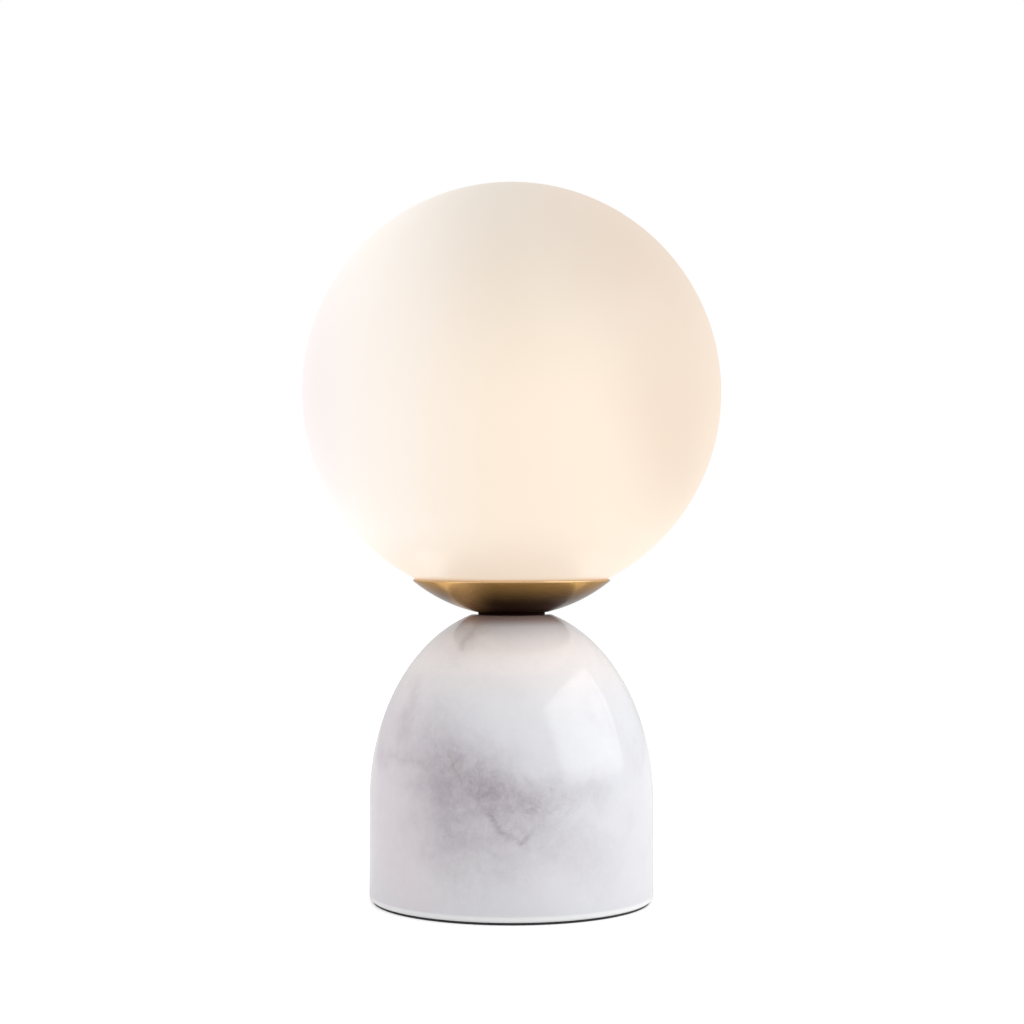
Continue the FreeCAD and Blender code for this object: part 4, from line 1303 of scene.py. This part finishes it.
    def dress(self, *nodes: str) -> None:
        """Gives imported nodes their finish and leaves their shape.

        Args:
            nodes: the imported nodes.
        """
        for node in nodes:
            materials = frame["nodes"][node].data.materials
            for index in range(len(materials)):
                materials[index] = self.finishes[node]
            if not materials:
                materials.append(self.finishes[node])
            log.info("%s: packed shape, finish %s", node, SLOTS[node])


# ---- the lamp's sub-assemblies -----------------------------------------------------------------
@dataclass
class Assembly:
    """A sub-assembly that is made with the workshop's tools."""

    shop: Workshop


@dataclass
class MarbleFoot(Assembly):
    """The marble dome, its pad and the cord's bush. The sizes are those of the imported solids."""

    side_height: float = 0.0348
    land_radius: float = 0.0146
    foot_chamfer: float = 0.0006
    pocket_radius: float = 0.033
    pocket_roof: float = 0.031
    rebate_radius: float = 0.0362
    rebate_top: float = 0.0025
    tube_hole: float = 0.0055
    entry_height: float = 0.012
    entry_radius: float = 0.00455
    spotface_radius: float = 0.00625
    spotface_y: float = 0.050
    drill_reach: float = 1.2
    pad_round: float = 0.0003
    bush_bore: float = 0.0033
    bush_sleeve: float = 0.0045
    bush_round: float = 0.0005
    grip_inset: float = 0.0013
    grip_radius: float = 0.0003

    def build(self) -> None:
        """Makes and installs the pieces."""
        self.dome()
        self.pad()
        self.bush()

    def dome(self) -> None:
        """Turns the marble and drills the cord entry."""
        low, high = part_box("marble_base")
        radius, bottom, top = high.x, low.z, high.z
        spring = bottom + self.side_height
        shrink = math.sqrt(1 - (self.land_radius / radius) ** 2)
        outline = Outline(self.tube_hole, self.pocket_roof)
        outline.line(self.pocket_radius, self.pocket_roof).line(self.pocket_radius, self.rebate_top)
        outline.line(self.rebate_radius, self.rebate_top).line(self.rebate_radius, bottom)
        outline.line(radius - self.foot_chamfer, bottom).line(radius, bottom + self.foot_chamfer)
        outline.line(radius, spring, steps=14)
        outline.ellipse(spring, radius, (top - spring) / shrink, self.land_radius, steps=96)
        outline.line(self.tube_hole, top, steps=4)
        marble = self.shop.turned("marble_dome", outline, "marble_base", Round.BROAD)
        outside = radius * self.drill_reach
        cutters = [self.drill(self.entry_radius, self.pocket_radius / 2, outside),
                   self.drill(self.spotface_radius, self.spotface_y, outside)]
        self.shop.install(self.shop.bored(marble, cutters), Body.STAND, "marble_base")

    def drill(self, radius: float, start: float, stop: float) -> bpy.types.Mesh:
        """A round cutter along Y at the cord entry's height.

        Args:
            radius: its radius.
            start, stop: its ends along Y.

        Returns:
            The cutter.
        """
        outline = Outline(0.0, start).line(radius, start).line(radius, stop).line(0.0, stop)
        return self.at_back(self.shop.turned("drill", outline, "marble_base", Round.DRILL))

    def at_back(self, mesh: bpy.types.Mesh) -> bpy.types.Mesh:
        """Lays a mesh turned on Z along Y, at the cord entry's height.

        Args:
            mesh: the mesh, which is changed.

        Returns:
            The same mesh.
        """
        lift = Matrix.Translation((0.0, 0.0, self.entry_height))
        mesh.transform(lift @ Matrix.Rotation(-math.pi / 2, 4, "X"))
        return self.shop.outwards(mesh)

    def pad(self) -> None:
        """Turns the foam pad with a soft edge."""
        low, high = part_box("base_pad")
        edge, radius = self.pad_round, high.x
        outline = Outline(0.0, low.z).line(radius - edge, low.z, steps=6)
        outline.arc((radius - edge, low.z + edge), edge, -90, 0, steps=4)
        outline.arc((radius - edge, high.z - edge), edge, 0, 90, steps=4)
        outline.line(0.0, high.z, steps=6)
        pad = self.shop.turned("foam_pad", outline, "base_pad", Round.PAD)
        self.shop.install(pad, Body.STAND, "base_pad")

    def bush(self) -> None:
        """Turns the rubber bush, with a grip groove round its flange."""
        low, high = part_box("cord_bush")
        flange, seat, end, edge = high.x, self.spotface_y, high.y, self.bush_round
        outline = Outline(self.bush_bore, low.y).line(self.bush_sleeve, low.y)
        outline.line(self.bush_sleeve, seat).line(flange, seat)
        outline.arc((flange - edge, end - edge), edge, 0, 90, steps=5)
        outline.arc((flange - self.grip_inset, end), self.grip_radius, 0, -180, steps=6)
        outline.arc((self.bush_bore + edge, end - edge), edge, 90, 180, steps=5)
        mesh = self.shop.turned("cord_bush_rubber", outline, "cord_bush", Round.SLIM)
        self.shop.install(self.at_back(mesh), Body.STAND, "cord_bush")


@dataclass
class DishAndClip(Assembly):
    """The brass dish on its washer, with the spring clip and the silicone ring in it."""

    wall: float = 0.0008
    floor_radius: float = 0.0123
    hole_radius: float = 0.0052
    washer_round: float = 0.0002
    eased: tuple[tuple[str, float], ...] = (
        ("spring_clip", 0.00012), ("top_washer", 0.00015), ("upper_nut", 0.0002),
        ("globe_gasket", 0.00015))

    def build(self) -> None:
        """Makes and installs the pieces."""
        self.dish()
        self.seat()
        self.shop.ease(Body.STAND, self.eased)

    def dish(self) -> None:
        """Spins the dish: flat floor, ball-shaped side, round rim."""
        low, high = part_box("brass_dish")
        half = self.wall / 2
        rim_r, rim_z = high.x - half, high.z - half
        floor_z = low.z + half
        across = rim_r**2 + rim_z**2 - self.floor_radius**2 - floor_z**2
        centre = across / (2 * (rim_z - floor_z))
        middle = math.hypot(rim_r, centre - rim_z)
        outer, inner = middle + half, middle - half
        rim = -math.degrees(math.atan2(centre - rim_z, rim_r))
        outer_foot = -math.degrees(math.asin((centre - low.z) / outer))
        inner_foot = -math.degrees(math.asin((centre - low.z - self.wall) / inner))
        outline = Outline(self.hole_radius, low.z)
        outline.arc((0.0, centre), outer, outer_foot, rim, steps=48)
        outline.arc((rim_r, rim_z), half, rim, rim + 180, steps=12)
        outline.arc((0.0, centre), inner, rim, inner_foot, steps=48)
        outline.line(self.hole_radius, low.z + self.wall)
        mesh = self.shop.turned("spun_dish", outline, "brass_dish", Round.BROAD)
        self.shop.install(mesh, Body.STAND, "brass_dish")

    def seat(self) -> None:
        """Turns the fibre washer under the dish."""
        low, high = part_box("seat_washer")
        edge = self.washer_round
        outline = Outline(self.hole_radius, low.z)
        outline.arc((high.x - edge, low.z + edge), edge, -90, 0, steps=3)
        outline.arc((high.x - edge, high.z - edge), edge, 0, 90, steps=3)
        outline.line(self.hole_radius, high.z)
        mesh = self.shop.turned("fibre_washer", outline, "seat_washer", Round.NARROW)
        self.shop.install(mesh, Body.STAND, "seat_washer")


@dataclass
class Globe(Assembly):
    """The opal glass ball."""

    wall: float = 0.003
    mouth_radius: float = 0.0285

    def build(self) -> None:
        """Blows the ball: outer skin, inner skin and a fire-polished mouth."""
        _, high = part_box("glass_globe")
        radius = high.x
        centre = high.z - radius
        lip = self.wall / 2
        middle = radius - lip
        lip_r = self.mouth_radius + lip
        angle = -math.degrees(math.acos(lip_r / middle))
        lip_z = centre + middle * math.sin(math.radians(angle))
        outline = Outline(0.0, high.z)
        outline.arc((0.0, centre), radius, 90, angle, steps=128)
        outline.arc((lip_r, lip_z), lip, angle, angle - 180, steps=12)
        outline.arc((0.0, centre), radius - self.wall, angle, 90, steps=96)
        outline.points[-1] = (0.0, high.z - self.wall)
        mesh = self.shop.turned("opal_globe", outline, "glass_globe", Round.BROAD)
        self.shop.install(mesh, Body.GLOBE, "glass_globe")


@dataclass
class BulbHolder(Assembly):
    """The threaded tube, bracket and ceramic that carry the bulb."""

    tube_bore: float = 0.004
    thread_pitch: float = 0.001
    thread_depth: float = 0.0003
    end_chamfer: float = 0.0005
    eased: tuple[tuple[str, float], ...] = (
        ("holder_bracket", 0.00018), ("holder_ceramic", 0.0003), ("holder_screws", 0.00012))

    def build(self) -> None:
        """Makes and installs the pieces."""
        self.tube()
        self.shop.ease(Body.STAND, self.eased)
        self.shop.dress("holder_contacts", "lead_live", "lead_neutral")

    def tube(self) -> None:
        """A tube with a real thread wound up its outside."""
        low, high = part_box("centre_tube")
        core, cut = high.x - self.thread_depth, self.end_chamfer
        outline = Outline(self.tube_bore, low.z).line(core - cut, low.z).line(core, low.z + cut)
        outline.line(core, high.z - cut).line(core - cut, high.z).line(self.tube_bore, high.z)
        body = self.shop.turned("tube_core", outline, "centre_tube", Round.SLIM)
        start = low.z + self.thread_pitch
        length = high.z - self.thread_pitch - start
        ridge = self.shop.thread.grow("tube_thread", {
            "Radius": core, "Ridge": self.thread_depth, "Turns": length / self.thread_pitch,
            "Length": length, "Start": (0.0, 0.0, start),
            "Material": self.shop.finishes["centre_tube"]})
        mesh = self.shop.joined("threaded_tube", [body, self.shop.outwards(ridge)])
        self.shop.install(mesh, Body.STAND, "centre_tube")


@dataclass
class CapsuleBulb(Assembly):
    """The two-pin bulb."""

    wall: float = 0.0009
    sunk: float = 0.003
    eased: tuple[tuple[str, float], ...] = (("bulb_base", 0.0004), ("bulb_emitter", 0.0001))
    pins: tuple[tuple[str, float], ...] = (("bulb_pins", 0.00005),)

    def build(self) -> None:
        """Makes and installs the pieces."""
        self.envelope()
        self.shop.ease(Body.BULB, self.eased)
        self.shop.ease(Body.BULB, self.pins, steps=1)

    def envelope(self) -> None:
        """A straight capsule closed by half a ball, its foot sunk into the bulb's base."""
        _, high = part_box("bulb_envelope")
        outer, inner = high.x, high.x - self.wall
        shoulder = high.z - outer
        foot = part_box("bulb_base")[1].z - self.sunk
        outline = Outline(inner, foot).line(outer, foot).line(outer, shoulder, steps=4)
        outline.arc((0.0, shoulder), outer, 0, 90, steps=24)
        outline.points[-1] = (0.0, high.z)
        outline.line(0.0, shoulder + inner).arc((0.0, shoulder), inner, 90, 0, steps=20)
        mesh = self.shop.turned("frosted_capsule", outline, "bulb_envelope", Round.NARROW)
        self.shop.install(mesh, Body.BULB, "bulb_envelope")


@dataclass
class Wiring(Assembly):
    """What the marble's pocket holds."""

    eased: tuple[tuple[str, float], ...] = (
        ("cover_plate", 0.0002), ("clamp_washer", 0.0002), ("lower_nut", 0.0002),
        ("terminal_strip", 0.0002))

    def build(self) -> None:
        """Softens the larger pieces and dresses the rest."""
        self.shop.ease(Body.STAND, self.eased)
        self.shop.dress("earth_tag", "lock_washer", "terminal_inserts", "terminal_screws",
                        "strip_screw", "earth_lead")


# ---- studio ------------------------------------------------------------------------------------
@dataclass(frozen=True)
class FlatLight:
    """A rectangular studio light that the camera doesn't see.

    Args:
        name: the light's name.
        width, height: size in metres.
        radiance: brightness of its face, where 1 is white.
    """

    name: str
    width: float
    height: float
    radiance: float

    def hang(self, place: Vector | Point, turn: Euler | Point, gloss_only: bool,
             spread: float = math.pi) -> None:
        """Hangs the light.

        Args:
            place: where its middle is.
            turn: its rotation.
            gloss_only: whether it shows only in gloss and lights nothing.
            spread: the angle over which it shines, in radians.
        """
        light = bpy.data.lights.new(self.name, "AREA")
        light.shape = "RECTANGLE"
        light.size, light.size_y = self.width, self.height
        light.energy = self.radiance * math.pi * self.width * self.height
        light.spread = spread
        lamp = placed(self.name, light)
        lamp.location, lamp.rotation_euler = place, turn
        lamp.visible_camera = False
        lamp.visible_diffuse = not gloss_only


@dataclass(frozen=True)
class Softbox(FlatLight):
    """A light beside the lamp that faces its middle.

    Args:
        azimuth: degrees round from the front, positive to the right.
        elevation: degrees above the lamp's middle.
        gloss_only: whether it shows only in gloss and lights nothing.
    """

    azimuth: float
    elevation: float
    gloss_only: bool = False

    DISTANCE = 1.0
    TARGET = Vector((0.0, 0.0, 0.10))

    def build(self) -> None:
        """Hangs the light."""
        az, el = math.radians(self.azimuth), math.radians(self.elevation)
        away = Vector((math.sin(az) * math.cos(el), -math.cos(az) * math.cos(el), math.sin(el)))
        turn = away.to_track_quat("Z", "Y").to_euler()
        self.hang(self.TARGET + away * self.DISTANCE, turn, self.gloss_only)


@dataclass(frozen=True)
class FloorPanel(FlatLight):
    """The lamp's own light on the floor as the brass mirrors it: a flat light that faces up.

    It shows only in gloss, and over an angle that keeps it out of the marble's side.

    Args:
        x, y: its middle on the floor, in metres.
    """

    x: float
    y: float

    LIFT = 0.0004
    SPREAD = math.radians(150.0)

    def build(self) -> None:
        """Lays the light on the floor."""
        self.hang((self.x, self.y, self.LIFT), (math.pi, 0.0, 0.0), True, self.SPREAD)


@dataclass
class Studio:
    """White backdrop, pale floor, lights and the camera of the photograph.

    Args:
        camera_distance, camera_height: where the camera stands, in metres.
        lens, sensor: its focal length and sensor width, in millimetres.
        horizon_pixel, axis_pixel: the horizon's row and the lamp's column in the picture.
        room_light, room_gloss: levels of the room in front of the lamp and behind it, as a light
            and as gloss mirrors it; room_top is what the light gains towards the ceiling, and
            room_blend how far either side of the middle the level changes.
        floor_size: side of the floor in metres.
        floor_white: the floor's colour, and floor_lift what the camera sees on top of it.
        floor_dull, floor_spread: the floor's roughness, and how uneven it is.
    """

    camera_distance: float = 0.716
    camera_height: float = 0.1278
    lens: float = 69.99
    sensor: float = 36.0
    horizon_pixel: float = 543.75
    axis_pixel: float = 511.6
    room_light: Span = (0.57, 1.00)
    room_gloss: Span = (0.40, 0.64)
    room_top: float = 0.50
    room_blend: float = 0.5
    floor_size: float = 6.0
    floor_white: float = 0.74
    floor_lift: float = 0.42
    floor_dull: float = 0.9
    floor_spread: float = 0.1
    floor_grain: Noise = Noise(900.0, 2.0)
    lights: tuple[FlatLight, ...] = (
        Softbox("key_right", 1.25, 0.80, 1.02, azimuth=72.0, elevation=24.0),
        Softbox("panel_right", 0.94, 0.68, 0.66, azimuth=69.0, elevation=26.0, gloss_only=True),
        FloorPanel("floor_glow", 0.80, 0.80, 0.50, x=0.0, y=0.06),
        FloorPanel("pool_left", 0.060, 0.120, 2.60, x=-0.080, y=0.045),
        FloorPanel("pool_right", 0.060, 0.120, 2.00, x=0.080, y=0.045),
    )

    def build(self) -> None:
        """Sets up everything round the lamp."""
        bpy.context.scene.view_settings.view_transform = "Standard"
        self.world()
        self.floor()
        for light in self.lights:
            light.build()
        self.camera()

    def world(self) -> None:
        """White to the camera; as light and gloss, white behind the lamp and dimmer in front."""
        world = bpy.data.worlds.new("studio")
        bpy.context.scene.world = world
        world.use_nodes = True
        room = ShaderTree(world.node_tree, "Generated")
        _, y, z = room.axes()
        light, gloss = (y.fade(-self.room_blend, self.room_blend, *levels)
                        for levels in (self.room_light, self.room_gloss))
        level = light + z * self.room_top
        for ray, shown in (("Glossy", gloss), ("Transmission", 1.0), ("Camera", 1.0)):
            seen = room.node("ShaderNodeLightPath", output=f"Is {ray} Ray")
            level = room.mix(level, shown, seen, Mixed.NUMBER)
        background = world.node_tree.nodes["Background"]
        room.feed(background.inputs["Color"], WHITE)
        room.feed(background.inputs["Strength"], level)

    def floor(self) -> None:
        """A pale floor that keeps the lamp's soft shadow and runs into the white behind."""
        recipe = Recipe("floor_pale")
        seen = recipe.node("ShaderNodeLightPath", output="Is Camera Ray")
        uneven = (recipe.noise(self.floor_grain) - 0.5) * self.floor_spread
        recipe.set(Base_Color=(self.floor_white,) * 3, Roughness=self.floor_dull + uneven,
                   Specular_IOR_Level=0.0, Emission_Strength=1.0,
                   Emission_Color=recipe.mix(BLACK, (self.floor_lift,) * 3, seen))
        mesh = bpy.data.meshes.new("floor")
        half = self.floor_size / 2
        corners = [(-half, -half, 0), (half, -half, 0), (half, half, 0), (-half, half, 0)]
        mesh.from_pydata(corners, [], [(0, 1, 2, 3)])
        mesh.materials.append(recipe.material)
        placed("floor", mesh)

    def camera(self) -> None:
        """A level camera in front, shifted so that the lamp stands where the photograph has it."""
        data = bpy.data.cameras.new("camera")
        data.lens, data.sensor_width = self.lens, self.sensor
        middle = PHOTO_PIXELS / 2
        data.shift_x = (middle - self.axis_pixel) / PHOTO_PIXELS
        data.shift_y = (self.horizon_pixel - middle) / PHOTO_PIXELS
        camera = placed("camera", data)
        camera.location = (0.0, -self.camera_distance, self.camera_height)
        camera.rotation_euler = (math.pi / 2, 0.0, 0.0)
        bpy.context.scene.camera = camera


def main() -> None:
    """Builds the studio and the lamp."""
    logging.basicConfig(level=logging.INFO, format="%(name)s %(message)s")
    Studio().build()
    shop = Workshop()
    for assembly in (MarbleFoot, DishAndClip, Globe, BulbHolder, CapsuleBulb, Wiring):
        assembly(shop).build()


if __name__ == "__main__":
    main()
